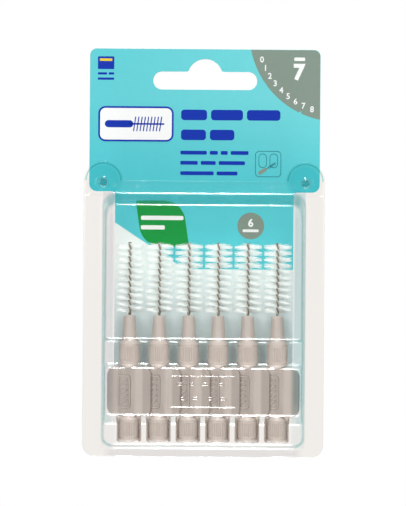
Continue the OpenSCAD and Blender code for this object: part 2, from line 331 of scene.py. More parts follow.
def boardSurface(finish, place, colour, roughness):
    # uneven ink over fine paper fibres
    b = boardLook
    mottle = addNode(finish, "ShaderNodeTexNoise",
                     {"Scale": noiseScale(b["mottleSize"]), "Detail": 4.0}, {"Vector": place})
    tone = addNode(finish, "ShaderNodeMapRange", {3: 0.965, 4: 1.02}, {0: mottle.outputs[0]})
    tinted = addNode(finish, "ShaderNodeVectorMath", links={0: colour, "Scale": tone.outputs[0]},
                     operation="SCALE")
    fibre = addNode(finish, "ShaderNodeTexNoise",
                    {"Scale": noiseScale(b["fibreSize"]), "Detail": 3.0}, {"Vector": place})
    worn = addNode(finish, "ShaderNodeMapRange", {3: roughness - 0.06, 4: roughness + 0.08},
                   {0: fibre.outputs[0]})
    relief = addNode(finish, "ShaderNodeBump",
                     {"Strength": 0.12, "Distance": b["fibreDepth"] * mm},
                     {"Height": fibre.outputs[0]})
    shader = addNode(finish, "ShaderNodeBsdfPrincipled", {"IOR": 1.48, "Specular IOR Level": 0.14},
                     {"Base Color": tinted.outputs[0], "Roughness": worn.outputs[0],
                      "Normal": relief.outputs[0]})
    addNode(finish, "ShaderNodeOutputMaterial", links={0: shader.outputs[0]})
    return finish


def printInk(name, hexCode, roughness=0.44):
    # one flat offset ink on the coated board, a touch uneven as solid areas print
    finish = newFinish(name)
    place = addNode(finish, "ShaderNodeTexCoord").outputs["Object"]
    base = addNode(finish, "ShaderNodeRGB")
    base.outputs[0].default_value = linear(hexCode)
    return boardSurface(finish, place, base.outputs[0], roughness)


filmTint = {
    # places in millimetres, each pair from where a colour starts to where it is full
    "rowEnds": (26.8, 26.3),
    "pocketEnds": (-117.4, -117.0),
    "belowHead": (-85.5, -87.0),
    "channel": (3.9, 3.6),
    "packSides": (28.0, 28.6),
    "packTop": (-47.0, -46.0),
    # painted refraction: the tints the walls take on, on the floors, beside the grips and beside
    # the barrels
    "floors": "#d3dcda",
    "besideGrips": "#a39489",
    "besideBarrels": "#cfc8c1",
    "gripTops": (-96.0, -94.0),
    "wallPower": 2.6,
    "channelPower": -0.4,
    # painted light and shade on the body's outer edges
    "leftStrip": "#f4f5f7",
    "rightStrip": "#e6f2f4",
    "middle": (-1.0, 1.0),
    "stripInner": (26.8, 27.6),
    "stripOuter": (31.4, 31.0),
    "stripTop": (-40.5, -41.5),
    "stripFade": (-110.0, -104.0, 0.25),
    "stripLow": (-120.0, -119.4),
    # painted shade: the darker band along the blister's foot
    "footShade": "#f8f8f9",
    "footShadeSide": (31.0, 28.5),
    "footShadeLow": (-119.8, -120.6),
    # painted shade: the dark outline round the lower barrels
    "outline": "#dfd8d2",
    "outlineInner": (2.9, 3.3),
    "outlineOuter": (3.85, 3.6),
    "outlineTop": (-109.2, -109.8),
    # painted light: the second line in each ear's rim
    "earRim": "#d6f4f4",
    "earRimRadius": 5.4,
    "earRimHalf": 0.22,
}


def darken(finish, tint, mask, colour):
    # multiplies a tint where the mask is 1, by one colour or by what another node gives
    shade = addNode(finish, "ShaderNodeMix", {6: (1, 1, 1, 1)}, {0: mask}, data_type="RGBA")
    if isinstance(colour, str):
        shade.inputs[7].default_value = linear(colour)
    else:
        finish.node_tree.links.new(colour, shade.inputs[7])
    return addNode(finish, "ShaderNodeMix", {0: 1.0}, {6: tint, 7: shade.outputs[2]},
                   data_type="RGBA", blend_type="MULTIPLY").outputs[2]


def formedTint(finish, place, facing, clearHex, wallHex):
    # beside the handles the blister's walls bend the light, and this is painted in as a tint: they
    # fill up with the handles' grey, at the pack's sides and top with the board's turquoise; the
    # body's outer edges, seen through several walls at once, get painted shade, the pockets a
    # painted dark outline round the barrels, and the ears' rims a painted second line
    t = filmTint
    axes = addNode(finish, "ShaderNodeSeparateXYZ", links={0: place}).outputs
    rise = axes["Z"]
    aside = addNode(finish, "ShaderNodeMath", links={0: axes["X"]}, operation="ABSOLUTE").outputs[0]
    along = addNode(finish, "ShaderNodeMath", {1: brushX[0] * mm}, {0: axes["X"]},
                    operation="SUBTRACT")
    reach = addNode(finish, "ShaderNodeMath", {1: pitch / 2 * mm}, {0: along.outputs[0]},
                    operation="PINGPONG").outputs[0]

    # the walls, seen along their length, tinted with painted refraction
    pockets = fadeMask(finish, (aside, *t["rowEnds"]), (rise, *t["pocketEnds"]))
    inside = fadeMask(finish, (rise, *t["belowHead"]), (reach, *t["channel"]), within=pockets)
    sides = addNode(finish, "ShaderNodeMath", operation="MAXIMUM",
                    links={0: fadeMask(finish, (aside, *t["packSides"])),
                           1: fadeMask(finish, (rise, *t["packTop"]))})
    plain, handles = (
        addNode(finish, "ShaderNodeMix", {6: linear(low), 7: linear(high)}, {0: share},
                data_type="RGBA").outputs[2]
        for low, high, share in (
            (t["floors"], wallHex, sides.outputs[0]),
            (t["besideGrips"], t["besideBarrels"], fadeMask(finish, (rise, *t["gripTops"])))))
    walls = addNode(finish, "ShaderNodeMix", links={0: inside, 6: plain, 7: handles},
                    data_type="RGBA")
    power = addNode(finish, "ShaderNodeMath", {1: t["channelPower"], 2: t["wallPower"]},
                    {0: inside}, operation="MULTIPLY_ADD")
    wall = addNode(finish, "ShaderNodeMath", links={0: facing, 1: power.outputs[0]},
                   operation="POWER")
    tint = addNode(finish, "ShaderNodeMix", {6: linear(clearHex)},
                   {0: wall.outputs[0], 7: walls.outputs[2]}, data_type="RGBA").outputs[2]

    # painted shade on the body's outer edges, the left one lighter than the right as the light
    # falls, and a darker band along its foot
    edge = addNode(finish, "ShaderNodeMix",
                   {6: linear(t["leftStrip"]), 7: linear(t["rightStrip"])},
                   {0: fadeMask(finish, (axes["X"], *t["middle"]))}, data_type="RGBA")
    strip = fadeMask(finish, (aside, *t["stripInner"]), (aside, *t["stripOuter"]),
                     (rise, *t["stripTop"]), (rise, *t["stripFade"]), (rise, *t["stripLow"]))
    tint = darken(finish, tint, strip, edge.outputs[2])
    footShade = fadeMask(finish, (aside, *t["footShadeSide"]), (rise, *t["footShadeLow"]))
    tint = darken(finish, tint, footShade, t["footShade"])

    # a painted dark outline round the lower barrels, standing in for their refracted edges
    outline = fadeMask(finish, (reach, *t["outlineInner"]), (reach, *t["outlineOuter"]),
                       (rise, *t["outlineTop"]), within=pockets)
    tint = darken(finish, tint, outline, t["outline"])

    # a painted second line inside each ear's round end, standing in for the light in the film's cut
    # edge
    away, up = earDistance(finish, axes, aside)
    line = addNode(finish, "ShaderNodeMath", {1: t["earRimRadius"] * mm, 2: t["earRimHalf"] * mm},
                   {0: away}, operation="COMPARE")
    high = addNode(finish, "ShaderNodeMath", {1: 0.0}, {0: up}, operation="GREATER_THAN")
    rim = addNode(finish, "ShaderNodeMath", links={0: line.outputs[0], 1: high.outputs[0]},
                  operation="MULTIPLY")
    return darken(finish, tint, rim.outputs[0], t["earRim"])


clearPet = {
    # millimetres for the waves; bend is how far a place turns away before it mirrors
    "waveSize": 9.091,
    "waveDepth": 0.06,
    "waveStrength": 0.2,
    "bend": (0.05, 0.17),
    "flatMirror": 0.2,
    "steepPower": 5.0,
    "steepMirror": 0.6,
    "roughness": 0.17,
}


def clearFilm(name, sheen, clearHex, wallHex, formed=False):
    # thermoformed clear PET: sees through, mirrors only where it bends, is tinted with a painted
    # refraction of the colour around it where a wall is seen along its length, and is very slightly
    # wavy
    p = clearPet
    finish = newFinish(name)
    place = addNode(finish, "ShaderNodeTexCoord").outputs["Object"]
    waves = addNode(finish, "ShaderNodeTexNoise",
                    {"Scale": noiseScale(p["waveSize"]), "Detail": 1.0}, {"Vector": place})
    relief = addNode(finish, "ShaderNodeBump",
                     {"Strength": p["waveStrength"], "Distance": p["waveDepth"] * mm},
                     {"Height": waves.outputs[0]})
    facing = addNode(finish, "ShaderNodeLayerWeight", {"Blend": 0.5},
                     {"Normal": relief.outputs[0]}).outputs["Facing"]
    steep = addNode(finish, "ShaderNodeMath", {1: p["steepPower"]}, {0: facing},
                    operation="POWER")
    bent = addNode(finish, "ShaderNodeMapRange",
                   {1: p["bend"][0], 2: p["bend"][1], 3: p["flatMirror"] * sheen, 4: sheen},
                   {0: facing})
    mirror = addNode(finish, "ShaderNodeMath", {1: p["steepMirror"]},
                     {0: steep.outputs[0], 2: bent.outputs[0]}, operation="MULTIPLY_ADD")
    if formed:
        tint = formedTint(finish, place, facing, clearHex, wallHex)
    else:
        wall = addNode(finish, "ShaderNodeMath", {1: filmTint["wallPower"]}, {0: facing},
                       operation="POWER")
        tint = addNode(finish, "ShaderNodeMix", {6: linear(clearHex), 7: linear(wallHex)},
                       {0: wall.outputs[0]}, data_type="RGBA").outputs[2]
    through = addNode(finish, "ShaderNodeBsdfTransparent", links={"Color": tint})
    gloss = addNode(finish, "ShaderNodeBsdfGlossy",
                    {"Roughness": p["roughness"], "Color": (1, 1, 1, 1)},
                    {"Normal": relief.outputs[0]})
    seen = addNode(finish, "ShaderNodeMixShader",
                   links={0: mirror.outputs[0], 1: through.outputs[0], 2: gloss.outputs[0]})
    # a clear film throws no shadow worth the name
    shadow = addNode(finish, "ShaderNodeLightPath").outputs["Is Shadow Ray"]
    clear = addNode(finish, "ShaderNodeBsdfTransparent")
    shader = addNode(finish, "ShaderNodeMixShader",
                     links={0: shadow, 1: seen.outputs[0], 2: clear.outputs[0]})
    addNode(finish, "ShaderNodeOutputMaterial", links={0: shader.outputs[0]})
    return finish


def mouldedPolypropylene(name, darkHex, lightHex):
    # warm grey moulded polypropylene: satin, with fine spark-eroded grain and soft depth; the
    # tone laid on the mesh is painted light and shade, which makes the barrels a little lighter,
    # the grips' flats and thin edges a little deeper. The real grain is finer: it is drawn as
    # coarse as it needs to show
    finish = newFinish(name)
    place = addNode(finish, "ShaderNodeTexCoord").outputs["Object"]
    cloud = addNode(finish, "ShaderNodeTexNoise", {"Scale": noiseScale(7.692), "Detail": 2.0},
                    {"Vector": place})
    base = addNode(finish, "ShaderNodeMix", {6: linear(darkHex), 7: linear(lightHex)},
                   {0: cloud.outputs[0]}, data_type="RGBA")
    # the mesh's tone: painted light and shade
    tone = addNode(finish, "ShaderNodeAttribute", attribute_name="tone")
    colour = addNode(finish, "ShaderNodeVectorMath", operation="SCALE",
                     links={0: base.outputs[2], "Scale": tone.outputs["Fac"]})
    grain = addNode(finish, "ShaderNodeTexNoise", {"Scale": noiseScale(0.1923), "Detail": 2.0},
                    {"Vector": place})
    worn = addNode(finish, "ShaderNodeMapRange", {3: 0.33, 4: 0.45}, {0: grain.outputs[0]})
    relief = addNode(finish, "ShaderNodeBump", {"Strength": 0.1, "Distance": 0.02 * mm},
                     {"Height": grain.outputs[0]})
    shader = addNode(finish, "ShaderNodeBsdfPrincipled",
                     {"IOR": 1.49, "Subsurface Weight": 0.12, "Subsurface Scale": 0.8 * mm,
                      "Subsurface Radius": (1.0, 0.85, 0.7)},
                     {"Base Color": colour.outputs[0], "Roughness": worn.outputs[0],
                      "Normal": relief.outputs[0]})
    addNode(finish, "ShaderNodeOutputMaterial", links={0: shader.outputs[0]})
    return finish


def drawnWire():
    # drawn steel wire with a warm coating, faintly streaked along its length; real die marks
    # are finer, and the streaks are drawn as coarse as they need to show
    finish = newFinish("drawnWire")
    place = addNode(finish, "ShaderNodeTexCoord").outputs["Object"]
    longer = addNode(finish, "ShaderNodeMapping", {"Scale": (1.0, 1.0, 0.12)}, {"Vector": place})
    streaks = addNode(finish, "ShaderNodeTexNoise", {"Scale": noiseScale(0.1667), "Detail": 2.0},
                      {"Vector": longer.outputs[0]})
    colour = addNode(finish, "ShaderNodeMix", {6: linear("#76685a"), 7: linear("#b6a892")},
                     {0: streaks.outputs[0]}, data_type="RGBA")
    worn = addNode(finish, "ShaderNodeMapRange", {3: 0.26, 4: 0.42}, {0: streaks.outputs[0]})
    shader = addNode(finish, "ShaderNodeBsdfPrincipled", {"Metallic": 0.65},
                     {"Base Color": colour.outputs[2], "Roughness": worn.outputs[0]})
    addNode(finish, "ShaderNodeOutputMaterial", links={0: shader.outputs[0]})
    return finish


def nylonFilament():
    # drawn nylon: milky white threads that glow a little where light comes from behind
    finish = newFinish("nylonFilament")
    place = addNode(finish, "ShaderNodeTexCoord").outputs["Object"]
    patches = addNode(finish, "ShaderNodeTexNoise", {"Scale": noiseScale(1.111)},
                      {"Vector": place})
    colour = addNode(finish, "ShaderNodeMix", {6: linear("#f4faf8"), 7: linear("#fdfefe")},
                     {0: patches.outputs[0]}, data_type="RGBA")
    shader = addNode(finish, "ShaderNodeBsdfPrincipled", {"Roughness": 0.35, "IOR": 1.53},
                     {"Base Color": colour.outputs[2]})
    glow = addNode(finish, "ShaderNodeBsdfTranslucent", links={"Color": colour.outputs[2]})
    mixed = addNode(finish, "ShaderNodeMixShader", {0: 0.4},
                    {1: shader.outputs[0], 2: glow.outputs[0]})
    # most light soaks on through a thread to the ones behind it
    shadow = addNode(finish, "ShaderNodeLightPath").outputs["Is Shadow Ray"]
    passed = addNode(finish, "ShaderNodeMath", {1: 0.87}, {0: shadow}, operation="MULTIPLY")
    clear = addNode(finish, "ShaderNodeBsdfTransparent")
    lit = addNode(finish, "ShaderNodeMixShader",
                  links={0: passed.outputs[0], 1: mixed.outputs[0], 2: clear.outputs[0]})
    addNode(finish, "ShaderNodeOutputMaterial", links={0: lit.outputs[0]})
    return finish


boardFinish = coatedBoard()
coreFinish = printInk("boardCore", "#e9e7e0", 0.6)
backFinish = printInk("boardBack", "#d2d6d3", 0.5)
blueInk = printInk("blueInk", "#0632ae")
tealInk = printInk("tealInk", "#17626e")
greyInk = printInk("greyInk", "#87988c")
whiteInk = printInk("whiteInk", "#fbfdfc")
greenInk = printInk("greenInk", "#009a40")
yellowInk = printInk("yellowInk", "#f3cf3a")
# the front film's walls take a turquoise tint: painted refraction of the board
filmFinish = clearFilm("clearPet", 0.05, "#fcfbfa", "#9acfcd", True)
coverFinish = clearFilm("clearPetCover", 0.035, "#fcfbfa", "#d6e4e2")
# painted refraction: the studs' film tinted with the board's turquoise
studFinish = clearFilm("clearPetStud", 0.05, "#6fd2d8", "#3fb0b7")
handleFinish = mouldedPolypropylene("mouldedPolypropylene", "#cbc1ba", "#d2c9c2")
# painted shade on the steep sides of the moulded marks, which are dull and dark
reliefShadeFinish = mouldedPolypropylene("mouldedReliefShade", "#84766b", "#8f8176")
wireFinish = drawnWire()
nylonFinish = nylonFilament()
print("finishes made")


# Hang card

card = {
    "headBottom": -40.9,
    "headTopRadius": 2.0,
    "headLowRadius": 2.3,
    "tongueWidth": 55.0,
    "tongueRadius": 3.0,
    "innerRadius": 1.15,
    "slotWidth": 32.0,
    "slotHeight": 5.5,
    "seatRadius": 5.4,
    "seatRise": 3.9,
    "seatBlend": 1.3,
    "studHole": 1.3,
    "studDrop": 0.5,
    "paperEdge": 0.07,
}


def flatShape(width, height, radius, thick, corners=8):
    # a plate in X and Y, from z = 0 up, with rounded corners
    shape = bmesh.new()
    bmesh.ops.create_grid(shape, x_segments=1, y_segments=1, size=0.5)
    bmesh.ops.scale(shape, vec=(width, height, 1), verts=shape.verts)
    if radius > 0:
        roundOff(shape, shape.verts[:], min(radius, 0.499 * min(width, height)), corners,
                 "VERTICES")
    return thicken(shape, thick)


def disc(radius, thick, segments=64):
    shape = bmesh.new()
    bmesh.ops.create_circle(shape, cap_ends=True, radius=radius, segments=segments)
    return thicken(shape, thick)


def thicken(shape, thick):
    raised = bmesh.ops.extrude_face_region(shape, geom=shape.faces[:])["geom"]
    tops = [item for item in raised if isinstance(item, bmesh.types.BMVert)]
    bmesh.ops.translate(shape, vec=(0, 0, thick), verts=tops)
    bmesh.ops.recalc_face_normals(shape, faces=shape.faces)
    return shape


def onCard(x, z, back=0.0, turn=0.0):
    # a plate's own z becomes the way out of the card, its y the way up
    return (Matrix.Translation((x, back, z)) @ Matrix.Rotation(math.radians(90), 4, "X")
            @ Matrix.Rotation(math.radians(turn), 4, "Z"))


def runsThrough(edge, x, z):
    middle = (edge.verts[0].co + edge.verts[1].co) / 2
    upright = abs(edge.verts[0].co.y - edge.verts[1].co.y) > 0.1
    return upright and abs(abs(middle.x) - x) < 0.2 and abs(middle.z - z) < 0.2


def makeBoard():
    thick = cardHigh.y - cardLow.y
    half, tongue = cardHigh.x, card["tongueWidth"] / 2
    flat = lineGrid([-half, -tongue, tongue, half], [cardLow.z, card["headBottom"], cardHigh.z])
    spare = [face for face in flat.faces if abs(face.calc_center_median().x) > tongue
             and face.calc_center_median().y < card["headBottom"]]
    bmesh.ops.delete(flat, geom=spare, context="FACES")
    inner = [edge for edge in flat.edges if not edge.is_boundary]
    bmesh.ops.dissolve_edges(flat, edges=inner)
    for x, z, radius in ((half, cardHigh.z, card["headTopRadius"]),
                         (half, card["headBottom"], card["headLowRadius"]),
                         (tongue, card["headBottom"], card["innerRadius"]),
                         (tongue, cardLow.z, card["tongueRadius"])):
        corners = [vert for vert in flat.verts
                   if abs(abs(vert.co.x) - x) < 0.1 and abs(vert.co.y - z) < 0.1]
        roundOff(flat, corners, radius, 10, "VERTICES")
    shape = bmesh.new()
    addShape(shape, thicken(flat, thick), onCard(0, 0, thick))
    over = 1.0  # how far the cutters stand out on each side
    slotZ = -card["seatRise"] - card["slotHeight"] / 2
    slot = bmesh.new()
    addShape(slot, flatShape(card["slotWidth"], card["slotHeight"], card["slotHeight"] / 2,
                             thick + 2 * over, 16), onCard(0, slotZ, thick + over))
    seat = bmesh.new()
    addShape(seat, disc(card["seatRadius"], thick + 2 * over, 96),
             onCard(0, -card["seatRadius"], thick + over))
    cutBy(seat, (0, 0, slotZ), (0, 0, -1))
    bmesh.ops.holes_fill(seat, edges=[edge for edge in seat.edges if edge.is_boundary])
    bmesh.ops.recalc_face_normals(seat, faces=seat.faces)
    shape = combine(shape, combine(slot, seat, "UNION"), "DIFFERENCE")
    for side in (-1, 1):
        hole = bmesh.new()
        addShape(hole, disc(card["studHole"], thick + 2 * over, 32),
                 onCard(side * earX, earZ - card["studDrop"], thick + over))
        shape = combine(shape, hole, "DIFFERENCE")
    rise = card["seatRadius"] - card["seatRise"]
    seatHalf = math.sqrt(card["seatRadius"] ** 2 - rise ** 2)
    roundEdges(shape, lambda edge: runsThrough(edge, seatHalf, -card["seatRise"]),
               card["seatBlend"], 6)
    # soft cut edges, a little crushed by the die
    roundEdges(shape, lambda edge: edge.calc_face_angle(0) > 1.2
               and abs(edge.verts[0].co.y - edge.verts[1].co.y) < 0.01, card["paperEdge"], 2)
    for face in shape.faces:
        face.material_index = 0 if face.normal.y < -0.9 else 2 if face.normal.y > 0.9 else 1
    makePiece("hangBoard", shape, [boardFinish, coreFinish, backFinish], "pack",
              ["hang_card"], 18)


# The print, as thin plates of ink on the board. Places are pixels of the 406 x 506 photograph
# on the card, made millimetres by its scale.
printed = {
    "pixel": 0.3072,
    "centreX": 204.9,
    "pegY": 59.3,
    "sink": 0.03,
    "layer": 0.02,
}


def cardX(pixelX):
    return (pixelX - printed["centreX"]) * printed["pixel"]


def cardZ(pixelY):
    return (printed["pegY"] - pixelY) * printed["pixel"]


def inkPlace(x, z, turn=0.0):
    return onCard(x, z, printed["sink"], turn)


def inkThick(layer):
    return printed["sink"] + layer * printed["layer"]


def addBar(shape, left, top, right, bottom, layer, radius=None):
    # a rounded bar between four pixel edges
    width, height = (right - left) * printed["pixel"], (bottom - top) * printed["pixel"]
    plate = flatShape(width, height, 0.3 * height if radius is None else radius, inkThick(layer), 4)
    addShape(shape, plate, inkPlace(cardX((left + right) / 2), cardZ((top + bottom) / 2)))


def addRing(shape, width, height, radius, line, x, z, layer):
    # a rounded outline with a line of even width
    outer = flatShape(width, height, radius, inkThick(layer), 6)
    inner = flatShape(width - 2 * line, height - 2 * line, max(radius - line, 0.05), 1.0, 6)
    bmesh.ops.translate(inner, vec=(0, 0, -0.5), verts=inner.verts)
    addShape(shape, combine(outer, inner, "DIFFERENCE"), inkPlace(x, z))


def addStroke(shape, x0, z0, x1, z1, line, layer):
    # a straight line with round ends between two places on the card
    length, turn = math.hypot(x1 - x0, z1 - z0), math.degrees(math.atan2(z1 - z0, x1 - x0))
    plate = flatShape(length + line, line, line / 2, inkThick(layer), 4)
    addShape(shape, plate, inkPlace((x0 + x1) / 2, (z0 + z1) / 2, turn))


def addNumber(shape, text, height, x, z, layer, bold=0.02):
    # a plain number, centred on its own outline
    curve = bpy.data.curves.new("number", "FONT")
    curve.body = text
    curve.size = 1.0
    curve.offset = bold
    curve.resolution_u = 6
    curve.extrude = 0.5
    holder = bpy.data.objects.new("number", curve)
    bpy.context.scene.collection.objects.link(holder)
    bpy.context.view_layer.update()
    solved = holder.evaluated_get(bpy.context.evaluated_depsgraph_get())
    mesh = bpy.data.meshes.new_from_object(solved)
    number = bmesh.new()
    number.from_mesh(mesh)
    bpy.data.objects.remove(holder)
    bpy.data.curves.remove(curve)
    bpy.data.meshes.remove(mesh)
    bmesh.ops.remove_doubles(number, verts=number.verts, dist=0.0001)
    bmesh.ops.recalc_face_normals(number, faces=number.faces)
    places = coordinates(number)
    low, high = places.min(0), places.max(0)
    size = height / (high[1] - low[1])
    places = (places - (low + high) / 2) * [size, size, inkThick(layer)]
    places[:, 2] += inkThick(layer) / 2
    moveTo(number, places)
    addShape(shape, number, inkPlace(x, z))


dial = {
    "centre": (338.0, 32.0),
    "radius": 89.0,
    "ring": 81.0,
    "firstTurn": 199.6,
    "turnStep": 6.47,
    "digits": 9,
    "notch": 0.75,
    "digitHeight": 1.85,
    "bigNumber": "7",
    "bigPlace": (299.5, 71.7),
    "bigHeight": 5.2,
    "wordBar": (294, 57, 305, 60.4),
}


def printDial(grey, white):
    # the dial in the corner, cut off along the board's edges
    scale = printed["pixel"]
    x, z = cardX(dial["centre"][0]), cardZ(dial["centre"][1])
    rim, ring = dial["radius"] * scale, dial["ring"] * scale
    inset = card["paperEdge"] * 1.5
    face = bmesh.new()
    bmesh.ops.create_circle(face, cap_ends=True, radius=rim, segments=240)
    bmesh.ops.translate(face, vec=(x, z, 0), verts=face.verts)
    cutBy(face, (cardHigh.x - inset, 0, 0), (1, 0, 0))
    cutBy(face, (0, cardHigh.z - inset, 0), (0, 1, 0))
    corner = max(face.verts, key=lambda vert: vert.co.x + vert.co.y)
    roundOff(face, [corner], card["headTopRadius"], 8, "VERTICES")
    turn = math.radians(dial["firstTurn"] + int(dial["bigNumber"]) * dial["turnStep"])
    notch = disc(dial["notch"], 1.0, 3)
    place = Matrix.Translation((x + rim * math.cos(turn), z + rim * math.sin(turn), -0.5))
    bmesh.ops.transform(notch, verts=notch.verts,
                        matrix=place @ Matrix.Rotation(turn + math.pi / 2, 4, "Z"))
    addShape(grey, combine(thicken(face, inkThick(1)), notch, "DIFFERENCE"), inkPlace(0, 0))
    for digit in range(dial["digits"]):
        turn = math.radians(dial["firstTurn"] + digit * dial["turnStep"])
        addNumber(white, str(digit), dial["digitHeight"], x + ring * math.cos(turn),
                  z + ring * math.sin(turn), 2)
    addNumber(white, dial["bigNumber"], dial["bigHeight"], cardX(dial["bigPlace"][0]),
              cardZ(dial["bigPlace"][1]), 2, 0.05)
    addBar(white, *dial["wordBar"], 2)


countMark = {
    "centre": (251.6, 226.2),
    "radius": 13.4,
    "numberY": 223.0,
    "numberHeight": 8.3,
    "wordBar": (243.5, 229.6, 259.5, 232.4),
}


def printCount(grey, white):
    # the round count mark and its number
    scale = printed["pixel"]
    x, y = countMark["centre"]
    addShape(grey, disc(countMark["radius"] * scale, inkThick(1), 72), inkPlace(cardX(x), cardZ(y)))
    addNumber(white, str(brushCount), countMark["numberHeight"] * scale, cardX(x),
              cardZ(countMark["numberY"]), 2, 0.035)
    addBar(white, *countMark["wordBar"], 2)


patch = {
    # pixels from edge to edge, millimetres for radii, lines and the drawn brush
    "patch": (97.2, 57.2, 113.6, 69.9),
    "patchBar": (99.2, 59.2, 111.6, 61.8),
    "plate": (98, 107, 173.5, 142.3),
    "plateRadius": 2.2,
    "plateLine": 0.55,
    "shaft": 17.0,
    "grip": 6.6,
    "gripLine": 2.2,
    "shaftLine": 0.5,
    "tufts": 9,
    "tuftStart": -0.4,
    "tuftPitch": 1.0,
    "tuftLean": 0.3,
    "tuftRise": 2.1,
    "tuftLine": 0.34,
}


def printPatches(blue, white, yellow):
    # small two-colour patch, and a white plate with a plain brush drawn on it
    p, scale = patch, printed["pixel"]
    addBar(blue, *p["patch"], 1, 0.25)
    addBar(yellow, *p["patchBar"], 2, 0.15)
    addBar(white, *p["plate"], 1, p["plateRadius"])
    left, top, right, bottom = p["plate"]
    x, z = cardX((left + right) / 2), cardZ((top + bottom) / 2)
    addRing(blue, (right - left) * scale, (bottom - top) * scale, p["plateRadius"],
            p["plateLine"], x, z, 2)
    start = x - p["shaft"] / 2
    addStroke(blue, start, z, start + p["grip"], z, p["gripLine"], 2)
    addStroke(blue, start + p["grip"], z, x + p["shaft"] / 2, z, p["shaftLine"], 2)
    for k in range(p["tufts"]):
        tuft = x + p["tuftStart"] + p["tuftPitch"] * k
        addStroke(blue, tuft - p["tuftLean"], z - p["tuftRise"], tuft + p["tuftLean"],
                  z + p["tuftRise"], p["tuftLine"], 2)


leafBadge = {
    "centre": (163, 224.4),
    "halfWidth": 23.5,
    "halfHeight": 23.0,
    "roundRadius": 5.6,
    "pointRadius": 0.9,
    "lean": 0.15,
    "bars": [(141.5, 216.6, 184, 220.8), (141.5, 226.2, 165.5, 230.4)],
}


def printLeaf(green, white):
    # green leaf-shaped badge with two plain bars
    half, tall = (leafBadge[key] * printed["pixel"] for key in ("halfWidth", "halfHeight"))
    leaf = lineGrid([-half, half], [-tall, tall])
    for way, radius in ((1, leafBadge["roundRadius"]), (-1, leafBadge["pointRadius"])):
        corners = [vert for vert in leaf.verts if vert.co.x * vert.co.y * way > 0]
        roundOff(leaf, corners, radius, 14, "VERTICES")
    for vert in leaf.verts:
        vert.co.x -= leafBadge["lean"] * vert.co.y
    x, y = leafBadge["centre"]
    addShape(green, thicken(leaf, inkThick(1)), inkPlace(cardX(x), cardZ(y)))
    for bar in leafBadge["bars"]:
        addBar(white, *bar, 2)


lineSign = {
    # strokes are (x, z, x, z) in millimetres from the sign's centre
    "centre": (268.6, 164.0),
    "side": 26.0,
    "radius": 1.2,
    "line": 0.16,
    "toothWidth": 2.5,
    "toothHeight": 4.4,
    "toothX": 1.7,
    "toothZ": 1.0,
    "handle": (-2.5, -2.7, -0.9, -1.7),
    "handleLine": 1.1,
    "wire": (-0.5, -1.5, 2.3, 0.3),
    "wireLine": 0.18,
    "tuft": (0.45, -1.45, -0.05, -0.65),
    "tuftStep": (0.45, 0.29),
    "tufts": 5,
    "tuftLine": 0.12,
}


def printSign(grey, teal):
    # line drawing in a rounded frame: a brush between two arches
    s = lineSign
    x, z = cardX(s["centre"][0]), cardZ(s["centre"][1])
    side = s["side"] * printed["pixel"]
    addRing(teal, side, side, s["radius"], s["line"], x, z, 1)
    for way in (-1, 1):
        addRing(teal, s["toothWidth"], s["toothHeight"], s["radius"], s["line"],
                x + way * s["toothX"], z + s["toothZ"], 1)

    def stroke(ink, ends, line, moveX=0.0, moveZ=0.0):
        x0, z0, x1, z1 = ends
        addStroke(ink, x + moveX + x0, z + moveZ + z0, x + moveX + x1, z + moveZ + z1, line, 2)

    stroke(grey, s["handle"], s["handleLine"])
    stroke(teal, s["wire"], s["wireLine"])
    for k in range(s["tufts"]):
        stroke(teal, s["tuft"], s["tuftLine"], s["tuftStep"][0] * k, s["tuftStep"][1] * k)


words = {
    # rows of plain bars where the print has lines of words: left, top, right, bottom
    "headline": [(181, 110, 207, 120.5), (211, 110, 243, 120.5), (247, 110, 280.5, 120.5),
                 (181, 130, 206, 140.5), (210, 130, 234.5, 140.5)],
    "small": [(180.5, 151.2, 207, 155), (210, 151.2, 218, 155), (221, 151.2, 228, 155),
              (231, 151.2, 248.8, 155), (180.5, 161.4, 198, 165.2), (201, 161.4, 216, 165.2),
              (219, 161.4, 245.3, 165.2), (180.5, 171.8, 214, 175.6), (217, 171.8, 237.9, 175.6)],
    "tiny": [(97.2, 73.2, 106.5, 75.4), (108, 73.2, 113.6, 75.4), (97.2, 78.4, 113.6, 80.6)],
}
backPrint = {
    "half": 22.0,
    "top": -46.0,
    "bar": 1.5,
    "space": 1.4,
    "pitch": 3.4,
    "rows": [(0.34, 0.2, 0.3), (0.18, 0.4, 0.22), (0.3, 0.3), (), (0.24, 0.3, 0.34),
             (0.4, 0.2, 0.26), (0.2, 0.34, 0.2)],
    "stripeX": -12.0,
    "stripeZ": -84.0,
    "stripeHigh": 11.0,
    "stripePitch": 1.0,
    "stripes": (0.6, 0.3, 0.3, 0.7, 0.3, 0.5, 0.3, 0.7, 0.3, 0.3, 0.6, 0.3, 0.5, 0.3, 0.7, 0.3, 0.3,
                0.6, 0.5, 0.3, 0.3, 0.7, 0.3, 0.6),
}


def printBack():
    # the back: rows of plain bars and a block of stripes
    b = backPrint
    back = bmesh.new()
    behind = Matrix.Translation((0, cardHigh.y, 0)) @ Matrix.Rotation(math.pi, 4, "Z")
    for row, shares in enumerate(b["rows"]):
        start = -b["half"]
        for share in shares:
            long = 2 * b["half"] * share
            bar = flatShape(long - b["space"], b["bar"], 0.3 * b["bar"], inkThick(1), 4)
            addShape(back, bar, behind @ inkPlace(start + long / 2, b["top"] - row * b["pitch"]))
            start += long
    for stripe, width in enumerate(b["stripes"]):
        bar = flatShape(width, b["stripeHigh"], 0, inkThick(1))
        addShape(back, bar, behind @ inkPlace(b["stripeX"] + stripe * b["stripePitch"],
                                              b["stripeZ"]))
    makePiece("backInk", back, [tealInk], "pack", creaseAngle=30)


